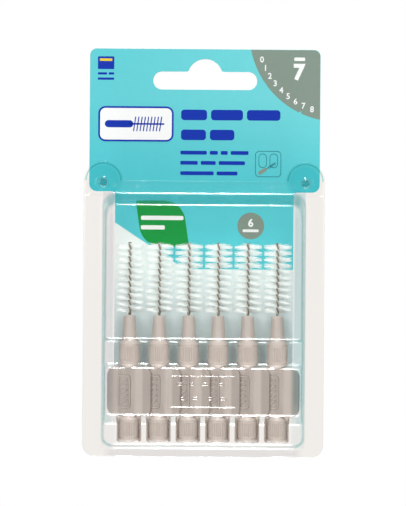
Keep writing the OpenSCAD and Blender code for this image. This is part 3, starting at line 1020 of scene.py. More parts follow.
def makePrint():
    blue, grey, white, teal, green, yellow = (bmesh.new() for _ in range(6))
    printDial(grey, white)
    printCount(grey, white)
    for bar in words["headline"] + words["small"] + words["tiny"]:
        addBar(blue, *bar, 1)
    printPatches(blue, white, yellow)
    printLeaf(green, white)
    printSign(grey, teal)
    printBack()
    for name, shape, finish in (("blueInk", blue, blueInk), ("greyInk", grey, greyInk),
                                ("whiteInk", white, whiteInk), ("tealInk", teal, tealInk),
                                ("greenInk", green, greenInk), ("yellowInk", yellow, yellowInk)):
        makePiece(name, shape, [finish], "pack", creaseAngle=30)


makeBoard()
makePrint()
print("hang card made")


# Clear film

film = {
    # millimetres, and degrees for the band's slopes; heights run down from the peg
    "thick": 0.33,
    "sheet": 0.35,
    "bodyHalf": 31.25,
    "bodyTop": -41.2,
    "bodyLow": -120.0,
    "bodyRadius": 3.45,
    "sideInset": 1.5,
    "topInset": 3.9,
    "lowInset": 1.6,
    "lowDepth": 3.9,
    "pocketLean": 0.5,
    "upperDepth": 6.5,
    "bandDepth": 9.25,
    "bandRound": 0.8,
    "headEdge": -85.84,
    "headFoot": -86.62,
    "bandTop": -94.9,
    "bandLow": -108.5,
    "bandSlope": 36.0,
    "bandLowSlope": 35.0,
    "channelRadius": 3.55,
    "pocketEnd": -117.6,
    "edgeRound": 1.0,
    "footRound": 0.7,
    "channelRound": 0.22,
    "kneeRound": 0.3,
    "smallFoot": 0.2,
    "rim": 0.1,
    "sheetRadius": 3.9,
    "domeRadius": 1.65,
    "domeDepth": 1.35,
    "domeRound": 0.5,
    "domeFoot": 0.4,
    "panelHalfX": 10.55,
    "panelLow": -106.3,
    "panelHigh": -96.7,
    "panelRise": 0.34,
    "panelCorner": 0.95,
    "panelRound": 0.25,
    "beadRise": 0.35,
    "beadSink": 0.1,
    "beadFoot": 0.62,
    "beadTop": 0.16,
    "beadRound": 0.09,
    "beads": [(-7.0, -99.3, 1.2), (-3.4, -99.3, 0.6), (0.6, -99.3, 1.6), (5.4, -99.3, 0.9),
              (-6.2, -103.6, 0.7), (-2.4, -103.6, 1.4), (2.2, -103.6, 0.7), (6.0, -103.6, 1.2)],
    "lugX": 24.2,
    "lugHalf": 3.7,
    "lugRound": 0.97,
    "snap": 0.13,
    "channelLines": (0.8, 1.6, 2.3, 2.8, 3.1, 3.35, 3.5, 3.62, 3.72, 3.82, 3.95, 4.15, 4.4),
}


def boxDistance(x, z, halfX, low, high, radius):
    # flat distance to a rounded rectangle
    right = np.abs(x) - halfX + radius
    up = np.abs(z - (low + high) / 2) - (high - low) / 2 + radius
    return (np.hypot(np.maximum(right, 0), np.maximum(up, 0))
            + np.minimum(np.maximum(right, up), 0) - radius)


def filmDistance(x, depth, z):
    # signed distance to the blister's outer face: walls, floors, channels, band and domes
    f = film
    head = -filmLow.y
    side = -slant(depth, -np.abs(x), (0, -f["bodyHalf"]), (head, f["sideInset"] - f["bodyHalf"]))
    top = -slant(depth, -z, (0, -f["bodyTop"]), (head, f["topInset"] - f["bodyTop"]))
    footKnee = (f["lowDepth"], f["bodyLow"] + f["lowInset"])
    foot = roundOuter(-slant(depth, z, (0, f["bodyLow"]), footKnee),
                      -slant(depth, z, footKnee, (head, footKnee[1] + f["pocketLean"])),
                      f["kneeRound"])
    walls = roundInner(roundInner(side, top, f["bodyRadius"]), foot, f["bodyRadius"])
    under = slant(depth, z, (head, f["headEdge"]), (f["upperDepth"], f["headFoot"]))
    headBlock = roundInner(depth - head, under, f["edgeRound"])
    upTan, lowTan = (math.tan(math.radians(f[k])) for k in ("bandSlope", "bandLowSlope"))
    rise = slant(depth, z, (f["bandDepth"], f["bandTop"]),
                 (f["bandDepth"] - 1, f["bandTop"] + upTan))
    fall = slant(depth, z, (f["bandDepth"] - 1, f["bandLow"] - lowTan),
                 (f["bandDepth"], f["bandLow"]))
    bandBlock = roundInner(roundInner(depth - f["bandDepth"], -rise, f["bandRound"]),
                           -fall, f["bandRound"])
    bandMiddle = (f["bandTop"] + f["bandLow"]) / 2
    upper = np.maximum(depth - f["upperDepth"], bandMiddle - z)
    bumps = np.minimum(roundOuter(headBlock, upper, f["footRound"]),
                       depth - f["lowDepth"])
    bumps = roundOuter(bumps, bandBlock, f["footRound"])
    for centre in brushX:
        column = (np.hypot(x - centre, np.maximum(depth - axisDepth, 0)) - f["channelRadius"])
        column = roundInner(column, f["pocketEnd"] - z, f["edgeRound"])
        column = np.maximum(column, z - f["headEdge"])
        bumps = roundOuter(bumps, column, f["channelRound"])
    panel = roundInner(boxDistance(x, z, f["panelHalfX"], f["panelLow"], f["panelHigh"],
                                   f["panelCorner"]),
                       depth - f["bandDepth"] - f["panelRise"], f["panelRound"])
    bumps = roundOuter(bumps, panel, f["smallFoot"])
    body = roundInner(walls, bumps, f["edgeRound"])
    form = roundOuter(body, depth - f["sheet"], f["footRound"])
    # the domes that take the studs, and the lugs along the top and bottom edges
    away = np.hypot(np.abs(x) - earX, z - (earZ - card["studDrop"])) - f["domeRadius"]
    form = roundOuter(form, roundInner(away, depth - f["domeDepth"], f["domeRound"]),
                      f["domeFoot"])
    for lugZ in ((filmLow.z + f["bodyLow"]) / 2, (earZ + f["bodyTop"]) / 2):
        reach = np.maximum(np.abs(np.abs(x) - f["lugX"]) - f["lugHalf"] + f["lugRound"], 0)
        lug = np.hypot(reach, z - lugZ) - f["lugRound"]
        form = roundOuter(form, roundInner(lug, depth - 2 * f["thick"], f["panelRound"]),
                          f["smallFoot"])
    return form


def filmHeights(x, z):
    # the depth at which each point of the sheet meets that face, by halving
    near, far = np.zeros_like(x), np.full_like(x, -filmLow.y + 1)
    for _ in range(26):
        middle = (near + far) / 2
        outside = filmDistance(x, middle, z) > 0
        near, far = np.where(outside, near, middle), np.where(outside, middle, far)
    return (near + far) / 2


def sheetGrid(columns, rows):
    # a flat sheet with ears at the top corners and rounded corners below
    shape = lineGrid(columns, rows)
    inside = earX - earRadius
    spare = [face for face in shape.faces
             if face.calc_center_median().y > earZ and abs(face.calc_center_median().x) < inside]
    bmesh.ops.delete(shape, geom=spare, context="FACES")
    places = coordinates(shape)
    x, z = places[:, 0].copy(), places[:, 1].copy()
    for side in (-1, 1):
        for way in (-1, 1):
            x, z = roundCorner(x, z, (side * earX, way), (earZ, 1), earRadius, 0)
        x, z = roundCorner(x, z, (side * (filmHigh.x - film["sheetRadius"]), side),
                           (filmLow.z + film["sheetRadius"], -1), film["sheetRadius"], 0)
    return shape, x, z


def makeBeads():
    # short formed ribs on the raised panel: slanted sides that mirror the lamps, blunt tops
    f = film
    shape = bmesh.new()
    front = f["bandDepth"] + f["panelRise"]
    toCorner = math.sqrt(2)
    for x, z, straight in f["beads"]:
        bead = bmesh.new()
        bmesh.ops.create_cone(bead, cap_ends=True, segments=4, depth=f["beadRise"] + f["beadSink"],
                              radius1=f["beadFoot"] * toCorner, radius2=f["beadTop"] * toCorner,
                              matrix=Matrix.Rotation(math.radians(45), 4, "Z"))
        for vert in bead.verts:
            vert.co.x += math.copysign(straight / 2, vert.co.x)
        roundOff(bead, bead.edges[:], f["beadRound"], 2)
        addShape(shape, bead, onCard(x, z, -front - (f["beadRise"] - f["beadSink"]) / 2))
    makePiece("filmBeads", shape, [filmFinish], "pack", creaseAngle=30)


def giveWall(shape, outward):
    # turns a sheet's faces to the front (-1) or the back (1) and gives it its thickness; the
    # cut edge is rounded off so that it draws a fine light line
    bmesh.ops.recalc_face_normals(shape, faces=shape.faces)
    if sum(face.normal.y for face in shape.faces) * outward < 0:
        bmesh.ops.reverse_faces(shape, faces=shape.faces)
    bmesh.ops.solidify(shape, geom=shape.faces[:], thickness=film["thick"])
    roundEdges(shape, lambda edge: edge.calc_face_angle(0) > 1.2, film["rim"], 2)


def makeBlister():
    f = film
    edge, half = filmHigh.x, f["bodyHalf"]
    # columns close together where the channels' walls and the body's sides rise
    outer = steps((half - 3.6, 0.24), (half + 1.2, 0.5), (edge - 3.9, 0.5), (edge, 1))
    inner = []
    for centre in brushX[brushCount // 2:]:
        inner += [centre + way * x for way in (-1, 1) for x in f["channelLines"]] + [centre]
    right = sorted(x for x in inner if 0 < x < half - 3.7) + outer
    columns = [-x for x in reversed(right)] + [0.0] + right
    earTop, bodyTop = filmHigh.z, f["bodyTop"]
    # rows close together where the floors bend
    rows = steps(
        (filmLow.z, 0.5), (f["bodyLow"] - 0.9, 0.22), (f["pocketEnd"] + 1.3, 0.9),
        (f["bandLow"] - 4.4, 0.26), (f["bandLow"] + 1.4, 0.7), (f["panelLow"] - 0.4, 0.16),
        (f["panelLow"] + 0.5, 0.8), (f["panelHigh"] - 0.5, 0.16), (f["panelHigh"] + 0.4, 0.5),
        (f["bandTop"] - 1.3, 0.2), (f["bandTop"] + 2.4, 0.8), (f["headFoot"] - 1.2, 0.18),
        (f["headEdge"] + 1.2, 1.6), (bodyTop - 5.0, 0.26), (bodyTop + 0.9, 0.26),
        (earTop - 3.4, 0.6), (earTop, 1))
    # the ears start on lines of their own: a close one is moved there, or one is added
    nearest = min(range(len(rows)), key=lambda k: abs(rows[k] - earZ))
    rows[nearest] = earZ
    for place in (earX - earRadius, earX):
        near = [k for k, x in enumerate(columns) if abs(abs(x) - place) < f["snap"]]
        for k in near:
            columns[k] = math.copysign(place, columns[k])
        if not near:
            columns = sorted(columns + [-place, place])
    shape, x, z = sheetGrid(columns, rows)
    for side in (-1, 1):
        for middle, way in ((bodyTop - f["bodyRadius"], 1), (f["bodyLow"] + f["bodyRadius"], -1)):
            x, z = roundCorner(x, z, (side * (half - f["bodyRadius"]), side), (middle, way),
                               f["bodyRadius"] + 0.7, 1.0)
    moveTo(shape, np.stack([x, -filmHeights(x, z), z], 1))
    giveWall(shape, -1)
    print("blister faces", len(shape.faces))
    makePiece("frontBlister", shape, [filmFinish], "pack", ["front_blister"], 60)


cover = {
    "rim": 0.35,
    "panel": 0.8,
    "pocketHalf": 28.72,
    "pocketLow": -103.72,
    "pocketRadius": 3.2,
    "headLow": -42.0,
    "round": 0.3,
    "wallRun": 0.7,
    "studRadius": 1.1,
}


def makeCover():
    c = cover
    half, edge = c["pocketHalf"], coverHigh.x
    fine = 0.14  # the grid's pitch where the pocket's edge bends
    right = steps((0, 2.4), (earX - earRadius, 1.6), (half - 1.0, fine), (half + 0.6, 0.8),
                  (edge, 1))
    columns = [-x for x in reversed(right[1:])] + right
    rows = steps((coverLow.z, 1.2), (c["pocketLow"] - 0.6, fine), (c["pocketLow"] + 1.0, 2.0),
                 (c["headLow"] - 0.6, fine), (c["headLow"] + 0.6, 1.2), (earZ, 0.7),
                 (coverHigh.z, 1))
    shape, x, z = sheetGrid(columns, rows)
    tongue = boxDistance(x, z, half, c["pocketLow"], c["headLow"] + 10, c["pocketRadius"])
    raised = roundOuter(tongue, c["headLow"] - z, c["round"])
    share = np.clip(0.5 - raised / c["wallRun"], 0, 1)
    share = share * share * (3 - 2 * share)
    outer = (coverHigh.y - c["panel"] + c["rim"]) + share * (c["panel"] - c["rim"])
    moveTo(shape, np.stack([x, outer, z], 1))
    giveWall(shape, 1)
    # two hollow studs that snap into the blister's domes
    front, back = -coverLow.y, -coverHigh.y
    wall, r = film["thick"], c["studRadius"]
    profile = [(0.02, front), (r - 0.3, front), (r - 0.08, front - 0.12), (r, front - 0.35),
               (r, back + 0.3), (r + 0.3, back + 0.02), (r - wall + 0.2, back + 0.02),
               (r - wall, back + 0.3), (r - wall, front - wall), (0.02, front - wall)]
    for side in (-1, 1):
        stud = lathe(profile, 32)
        for face in stud.faces:
            face.material_index = 1
        addShape(shape, stud, Matrix.Translation((side * earX, 0, earZ - card["studDrop"]))
                 @ Matrix.Rotation(math.radians(90), 4, "X"))
    makePiece("backCover", shape, [coverFinish, studFinish], "cover",
              ["back_cover"], 60)


def lathe(profile, segments):
    # spins an outline of (radius, height) round Z; both its ends lie near the axis
    shape = bmesh.new()
    verts = [shape.verts.new((r, 0, z)) for r, z in profile]
    for a, b in zip(verts, verts[1:]):
        shape.edges.new((a, b))
    bmesh.ops.spin(shape, geom=shape.verts[:] + shape.edges[:], cent=(0, 0, 0), axis=(0, 0, 1),
                   angle=math.tau, steps=segments, use_merge=True)
    for radius, height in (profile[0], profile[-1]):
        near = [vert for vert in shape.verts if math.hypot(vert.co.x, vert.co.y) < 1.5 * radius
                and abs(vert.co.z - height) < 1e-4]
        bmesh.ops.pointmerge(shape, verts=near, merge_co=(0, 0, height))
    bmesh.ops.recalc_face_normals(shape, faces=shape.faces)
    return shape


makeBlister()
makeBeads()
makeCover()
print("clear sheets made")


# Brushes

brush = {
    # millimetres, and degrees for the grip's turn about the brush's axis
    "barrelRadius": 3.1,
    "endRound": 1.03,
    "footLength": 7.5,
    "gripHeight": 15.1,
    "barrelLength": 7.0,
    "tipLength": 8.6,
    "blend": 0.8,
    "collar": 0.52,
    "throat": 1.07,
    "neckRadius": 2.3,
    "tipRadius": 1.85,
    "tipRound": 0.5,
    "boreRadius": 0.6,
    "boreDepth": 1.4,
    "flutes": 34,
    "fluteDepth": 0.24,
    "fluteFade": 0.35,
    "gripWidth": 14.0,
    "gripRadius": 2.9,
    "gripTurn": 17.0,
    "gripRim": 0.22,
    "middleHalf": 1.6,
    "middleX": 2.17,
    "edgeHalf": 0.544,
    "valleyX": 3.0,
    "valleyWidth": 0.55,
    "valleyDepth": 0.16,
    "bevel": 0.8,
    "bevelBlend": 0.25,
    "soft": 0.12,
}
footLow = handleLow.z
gripLow = footLow + brush["footLength"]
gripTop = gripLow + brush["gripHeight"]
barrelTop = gripTop + brush["barrelLength"]
tipTop = barrelTop + brush["tipLength"]
gripMiddle = (gripLow + gripTop) / 2


def handleCore():
    b = brush
    r, end, tip = b["barrelRadius"], b["endRound"], b["tipRadius"]
    blend, soft, fade = b["blend"], b["soft"], b["fluteFade"]

    def quarter(radius, height, size, first, last, count=5):
        return [(radius + size * math.cos(math.radians(first + (last - first) * k / count)),
                 height + size * math.sin(math.radians(first + (last - first) * k / count)))
                for k in range(count + 1)]

    def fluted(low, high):
        # rings where the flutes start, run full and end
        return [(r, z) for z in (low, low + fade / 2, low + fade, low + 2 * fade, (low + high) / 2,
                                 high - 2 * fade, high - fade, high - fade / 2, high)]

    # the round foot, the lower barrel, the throat within the grip and the upper barrel
    lower = (footLow + end + b["collar"] / 2, gripLow - blend - b["collar"])
    upper = (gripTop + blend + b["collar"], barrelTop - b["collar"])
    profile = [(0.02, footLow)] + quarter(r - end, footLow + end, end, -90, 0) + fluted(*lower)
    profile += [(r, gripLow - blend - 0.1), (r - soft, gripLow - blend + soft),
                (b["throat"], gripLow + blend), (b["throat"], gripTop - blend),
                (r - soft, gripTop + blend - soft), (r, gripTop + blend + 0.1)]
    profile += fluted(*upper)
    # the shoulder, the slim tip, and the bore for the wire
    neck, bore = b["neckRadius"], b["boreRadius"]
    neckZ, boreZ = barrelTop + r - neck + b["collar"], tipTop - b["boreDepth"]
    profile += [(r, barrelTop - soft), (r - 0.1, barrelTop + 0.02), (neck + 0.2, neckZ - 0.28),
                (neck + 0.03, neckZ - 0.05), (neck - 0.03, neckZ + 0.25)]
    profile += quarter(tip - b["tipRound"], tipTop - b["tipRound"], b["tipRound"], 5, 90)
    profile += [(bore + 0.05, tipTop), (bore, tipTop - 0.06), (bore, boreZ), (0.02, boreZ)]
    shape = lathe(profile, 4 * b["flutes"])
    places = coordinates(shape)
    turn = np.arctan2(places[:, 1], places[:, 0])
    reach = np.hypot(places[:, 0], places[:, 1])
    groove = np.zeros(len(places))
    for low, high in (lower, upper):
        inside = np.minimum(places[:, 2] - low, high - places[:, 2]) / fade
        groove = np.maximum(groove, np.clip(inside, 0, 1))
    groove = np.where(np.abs(reach - r) < 0.01, groove, 0)
    cut = b["fluteDepth"] * groove * (0.5 - 0.5 * np.cos(b["flutes"] * turn))
    places[:, :2] *= (1 - cut / np.maximum(reach, 1e-6))[:, None]
    moveTo(shape, places)
    bmesh.ops.recalc_face_normals(shape, faces=shape.faces)
    return shape


def gripHalf(x, z):
    # half the grip's thickness: a thick middle, a valley beside it, thin edges, bevelled ends
    b = brush
    reach = np.abs(x)
    flat = np.full_like(reach, b["middleHalf"])
    slope = (b["middleHalf"] - b["edgeHalf"]) / (b["gripWidth"] / 2 - b["middleX"])
    outer = b["middleHalf"] - (reach - b["middleX"]) * slope
    valley = b["valleyDepth"] * np.exp(-((reach - b["valleyX"]) / b["valleyWidth"]) ** 2)
    half = softLower(flat, outer, b["soft"]) - valley
    toEnd = b["gripHeight"] / 2 - np.abs(z - gripMiddle)
    return softLower(half, b["middleHalf"] - b["bevel"] + toEnd, b["bevelBlend"])


def softLower(a, b, blend):
    # the lower of two heights, blended over a short stretch
    share = np.clip(0.5 + (b - a) / (2 * blend), 0, 1)
    return b + (a - b) * share - blend * share * (1 - share)


def gripSlab():
    b = brush
    half, corner = b["gripWidth"] / 2, b["gripRadius"]
    cornerZ = b["gripHeight"] / 2 - corner
    columns = steps((-half, 0.3), (-half + 3.4, 0.2), (-b["middleX"] + 0.3, 0.9),
                    (b["middleX"] - 0.3, 0.2), (half - 3.4, 0.3), (half, 1))
    rows = steps((gripLow, 0.3), (gripLow + 3.1, 0.8), (gripTop - 3.1, 0.3), (gripTop, 1))
    shape = lineGrid(columns, rows)
    raised = bmesh.ops.extrude_face_region(shape, geom=shape.faces[:])["geom"]
    for item in raised:
        if isinstance(item, bmesh.types.BMVert):
            item.co.z = 1
    places = coordinates(shape)
    x, z, front = places[:, 0].copy(), places[:, 1].copy(), places[:, 2] > 0.5
    for side in (-1, 1):
        for way in (-1, 1):
            x, z = roundCorner(x, z, (side * (half - corner), side),
                               (gripMiddle + way * cornerZ, way), corner, 0)
    y = gripHalf(x, z)
    moveTo(shape, np.stack([x, np.where(front, -y, y), z], 1))
    bmesh.ops.recalc_face_normals(shape, faces=shape.faces)
    roundEdges(shape, lambda edge: edge.calc_face_angle(0) > 0.9, b["gripRim"], 3)
    return shape


relief = {
    # the moulded frame on each grip, with slanted ribs in it
    "x": -1.15,
    "width": 4.4,
    "height": 10.2,
    "radius": 1.0,
    "line": 0.62,
    "lift": 0.3,
    "root": 0.15,
    "slope": 0.22,
    "ribs": 5,
    "ribSlope": 0.55,
    "strip": 0.4,
}


def gripRelief(front):
    b = relief
    thick = b["lift"] + b["root"]

    def sloped(shape):
        roundEdges(shape, lambda edge: min(vert.co.z for vert in edge.verts) > thick - 0.01
                   and edge.calc_face_angle(0) > 0.5, b["slope"], 2)
        return shape

    flat = bmesh.new()
    outer = flatShape(b["width"], b["height"], b["radius"], thick, 6)
    inner = flatShape(b["width"] - 2 * b["line"], b["height"] - 2 * b["line"],
                      b["radius"] - b["line"], 3.0, 6)
    bmesh.ops.translate(inner, vec=(0, 0, -1), verts=inner.verts)
    addShape(flat, sloped(combine(outer, inner, "DIFFERENCE")))
    reach = b["width"] / 2 - 1.7 * b["line"]
    turn = math.atan(b["ribSlope"])
    for k in range(b["ribs"]):
        rise = (k - (b["ribs"] - 1) / 2) * (b["height"] - 4 * b["line"]) / b["ribs"]
        rib = flatShape(2 * reach / math.cos(turn), b["line"], b["line"] / 2.2, thick, 3)
        addShape(flat, sloped(rib),
                 Matrix.Translation((0, rise, 0)) @ Matrix.Rotation(turn, 4, "Z"))
    bmesh.ops.triangulate(flat, faces=[face for face in flat.faces if len(face.verts) > 4])
    # cut in strips, so that it can follow the grip's curve
    for cutX in np.arange(-b["width"] / 2 + b["strip"], b["width"] / 2, b["strip"]):
        cutBy(flat, (cutX, 0, 0), (1, 0, 0), False)
    # the marks' steep sides take the painted shade
    for face in flat.faces:
        face.material_index = 0 if abs(face.normal.z) > 0.9 else 1
    places = coordinates(flat)
    x, z = places[:, 0] + b["x"], places[:, 1] + gripMiddle
    moveTo(flat, np.stack([x, b["root"] - places[:, 2] - gripHalf(x, z), z], 1))
    bmesh.ops.recalc_face_normals(flat, faces=flat.faces)
    if not front:
        bmesh.ops.rotate(flat, cent=(0, 0, 0), matrix=Matrix.Rotation(math.pi, 3, "Z"),
                         verts=flat.verts)
    return flat


handleShading = {
    # painted light and shade: shares of light or dark, each with where it starts and where it is
    # full, in millimetres across the grip, past the grip's end or below the barrel's top
    "flat": -0.1,
    "flatFrom": (-0.9, -0.3),
    "flatTo": (2.8, 2.2),
    "rightEdge": -0.24,
    "rightFrom": (4.4, 4.9),
    "leftEdge": -0.12,
    "leftFrom": (-5.6, -6.6),
    "end": -0.08,
    "endFrom": (-0.9, -0.3),
    "gripFrom": (0.0, -0.2),
    "barrel": 0.1,
    "barrelFrom": (0.0, 0.6),
    "barrelTo": (0.0, 0.5),
}


def ramp(values, start, end):
    return np.clip((values - start) / (end - start), 0, 1)


def layTone(shape):
    # painted light and shade, as the form would leave it: lighter barrels, deeper flats and thin
    # edges
    t = handleShading
    places = coordinates(shape)
    turn = math.radians(brush["gripTurn"])
    across = places[:, 0] * math.cos(turn) - places[:, 1] * math.sin(turn)
    out = places[:, 1] * math.cos(turn) + places[:, 0] * math.sin(turn)
    across = np.where(out > 0, -across, across)
    past = np.abs(places[:, 2] - gripMiddle) - brush["gripHeight"] / 2
    grip = (t["flat"] * ramp(across, *t["flatFrom"]) * ramp(across, *t["flatTo"])
            + t["rightEdge"] * ramp(across, *t["rightFrom"])
            + t["leftEdge"] * ramp(across, *t["leftFrom"]) + t["end"] * ramp(past, *t["endFrom"]))
    barrel = ramp(past, *t["barrelFrom"]) * ramp(barrelTop - places[:, 2], *t["barrelTo"])
    tone = 1 + grip * ramp(past, *t["gripFrom"]) + t["barrel"] * barrel
    layer = shape.verts.layers.float.new("tone")
    for vert, value in zip(shape.verts, tone):
        vert[layer] = value


def makeHandles():
    grip = gripSlab()
    bmesh.ops.rotate(grip, cent=(0, 0, 0), verts=grip.verts,
                     matrix=Matrix.Rotation(math.radians(-brush["gripTurn"]), 3, "Z"))
    handle = combine(handleCore(), grip, "UNION")
    for front in (True, False):
        marks = gripRelief(front)
        addShape(handle, marks, Matrix.Rotation(math.radians(-brush["gripTurn"]), 4, "Z"))
    layTone(handle)
    for number, x in enumerate(brushX, 1):
        shape = handle.copy()
        bmesh.ops.translate(shape, vec=(x, -axisDepth, 0), verts=shape.verts)
        makePiece(f"handle_{number}_moulding", shape, [handleFinish, reliefShadeFinish],
                  f"brush_{number}", [f"handle_{number}"], 32)
    print("handle faces", len(handle.faces))
    handle.free()


wire = {
    "turn": -3.8,  # below zero for a left-handed twist
    "strandRadius": 0.262,
    "strandOffset": 0.25,
    "sides": 10,
    "stepsPerTurn": 16,
    "seat": 1.3,
}


def makeWires():
    w = wire
    start = tipTop - w["seat"]
    length = wireHigh.z - start
    turns = length / w["turn"]
    count = math.ceil(abs(turns) * w["stepsPerTurn"])
    firstTurn = ((start - tipTop) / w["turn"] + 0.25) * math.tau
    for number, x in enumerate(brushX, 1):
        shape = bmesh.new()
        for strand in (0, 1):
            one = bmesh.new()
            turned, away = firstTurn + strand * math.pi, w["strandOffset"]
            bmesh.ops.create_circle(one, cap_ends=True, radius=w["strandRadius"],
                                    segments=w["sides"])
            bmesh.ops.translate(one, verts=one.verts,
                                vec=(away * math.cos(turned), away * math.sin(turned), start))
            bmesh.ops.spin(one, geom=one.faces[:], cent=(0, 0, 0), axis=(0, 0, 1), steps=count,
                           angle=turns * math.tau, dvec=(0, 0, length / count))
            bmesh.ops.remove_doubles(one, verts=one.verts, dist=0.001)
            bmesh.ops.recalc_face_normals(one, faces=one.faces)
            addShape(shape, one)
        bmesh.ops.translate(shape, vec=(x, -axisDepth, 0), verts=shape.verts)
        makePiece(f"wire_{number}_twist", shape, [wireFinish], f"brush_{number}",
                  [f"wire_{number}"], 50)


bristle = {
    "count": 700,
    "radius": 0.05,
    "reach": 4.29,
    "stations": (-1.0, -0.72, -0.36, 0.0, 0.36, 0.72, 1.0),
    "turnJitter": 0.10,
    "tiltJitter": 0.055,
    "droop": 0.16,
    "lengthJitter": 0.02,
    "longer": 0.2,
    "bareTip": 0.35,
    "seed": 40,
}


def filamentPrototype():
    # one three-sided thread through the wire, laid along X
    b = bristle
    shape = bmesh.new()
    bmesh.ops.create_circle(shape, cap_ends=True, radius=b["radius"], segments=3,
                            matrix=Matrix.Translation((b["stations"][0] * b["reach"], 0, 0))
                            @ Matrix.Rotation(math.radians(90), 4, "Y"))
    end = shape.faces[:]
    for before, after in zip(b["stations"], b["stations"][1:]):
        grown = bmesh.ops.extrude_face_region(shape, geom=end)["geom"]
        end = [item for item in grown if isinstance(item, bmesh.types.BMFace)]
        verts = [item for item in grown if isinstance(item, bmesh.types.BMVert)]
        bmesh.ops.translate(shape, vec=((after - before) * b["reach"], 0, 0), verts=verts)
    inner = [face for face in shape.faces if abs(face.normal.x) > 0.9
             and abs(abs(face.calc_center_median().x) - b["reach"]) > 0.01]
    bmesh.ops.delete(shape, geom=inner, context="FACES_ONLY")
    bmesh.ops.recalc_face_normals(shape, faces=shape.faces)
    return shape


def makeFilaments():
    b = bristle
    low, high = bristleLow.z - b["longer"], wireHigh.z - b["bareTip"]
    # the threads lie across the line between the strands
    first = ((low - tipTop) / wire["turn"] + 0.25) * math.tau + math.pi / 2
    shape = filamentPrototype()
    each = len(shape.verts)
    bmesh.ops.rotate(shape, cent=(0, 0, 0), matrix=Matrix.Rotation(first, 3, "Z"),
                     verts=shape.verts)
    bmesh.ops.translate(shape, vec=(0, 0, low), verts=shape.verts)
    copies = b["count"] - 1
    bmesh.ops.spin(shape, geom=shape.verts[:] + shape.edges[:] + shape.faces[:], cent=(0, 0, 0),
                   axis=(0, 0, 1), dvec=(0, 0, (high - low) / copies), steps=copies,
                   angle=(high - low) / wire["turn"] * math.tau, use_duplicate=True)
    rest = coordinates(shape)
    thread = np.arange(len(rest)) // each
    for number, x in enumerate(brushX, 1):
        chance = np.random.default_rng(b["seed"] + number)
        amount = thread.max() + 1
        turn = chance.normal(0, b["turnJitter"], amount)[thread]
        tilt = chance.normal(0, b["tiltJitter"], amount)[thread]
        sag = chance.normal(0, b["droop"], amount)[thread]
        size = 1 - np.abs(chance.normal(0, b["lengthJitter"], amount))[thread]
        heading = first + (rest[:, 2] - low) / wire["turn"] * math.tau
        along = rest[:, 0] * np.cos(heading) + rest[:, 1] * np.sin(heading)
        places = rest.copy()
        places[:, 0] = (rest[:, 0] * np.cos(turn) - rest[:, 1] * np.sin(turn)) * size
        places[:, 1] = (rest[:, 0] * np.sin(turn) + rest[:, 1] * np.cos(turn)) * size
        places[:, 2] += tilt * along + sag * (along / b["reach"]) ** 2
        places[:, 2] = np.clip(places[:, 2], low - b["bareTip"], high + b["bareTip"])
        places += [x, -axisDepth, 0]
        copy = shape.copy()
        moveTo(copy, places)
        makePiece(f"filaments_{number}_threads", copy, [nylonFinish], f"brush_{number}",
                  [f"filaments_{number}"], 180)
    print("filament faces in a brush", len(shape.faces))
    shape.free()


makeHandles()
makeWires()
makeFilaments()
print("brushes made")


# Camera, lights and background

studio = {
    # millimetres, degrees and watts; the film's two lines of light come from the far strips
    "pixel": 0.308,
    "pixelRows": 506,
    "lens": 100.0,
    "sensor": 36.0,
    "centreX": -0.3,
    "centreZ": -59.7,
    "roll": 0.42,
    "skyStrength": 0.335,
    "stripReach": 1000.0,
    "stripTurn": 82.0,
    "stripWidth": 190.0,
    "stripDepth": 100.0,
    "stripPower": 6.0,
    "frontX": 400.0,
    "frontY": -900.0,
    "frontRise": 180.0,
    "frontSize": (360.0, 420.0),
    "leftPower": 3.2,
    "rightPower": 2.75,
    "backY": 450.0,
    "backRise": 450.0,
    "backSize": (400.0, 300.0),
    "backPower": 2.3,
    "paperHalf": 1300.0,
    "paperBack": 650.0,
    "paperSweep": 300.0,
}


def aimed(place, target, roll=0.0):
    look = (Vector(target) - Vector(place)).to_track_quat("-Z", "Y").to_matrix().to_4x4()
    return (Matrix.Translation(Vector(place) * mm) @ look
            @ Matrix.Rotation(math.radians(roll), 4, "Z"))


def areaLight(name, place, target, width, depth, power):
    lamp = bpy.data.lights.new(name, "AREA")
    lamp.shape = "RECTANGLE"
    lamp.size, lamp.size_y = width * mm, depth * mm
    lamp.energy = power
    holder = bpy.data.objects.new(name, lamp)
    holder.matrix_world = aimed(place, target)
    holder.visible_camera = False
    bpy.context.scene.collection.objects.link(holder)


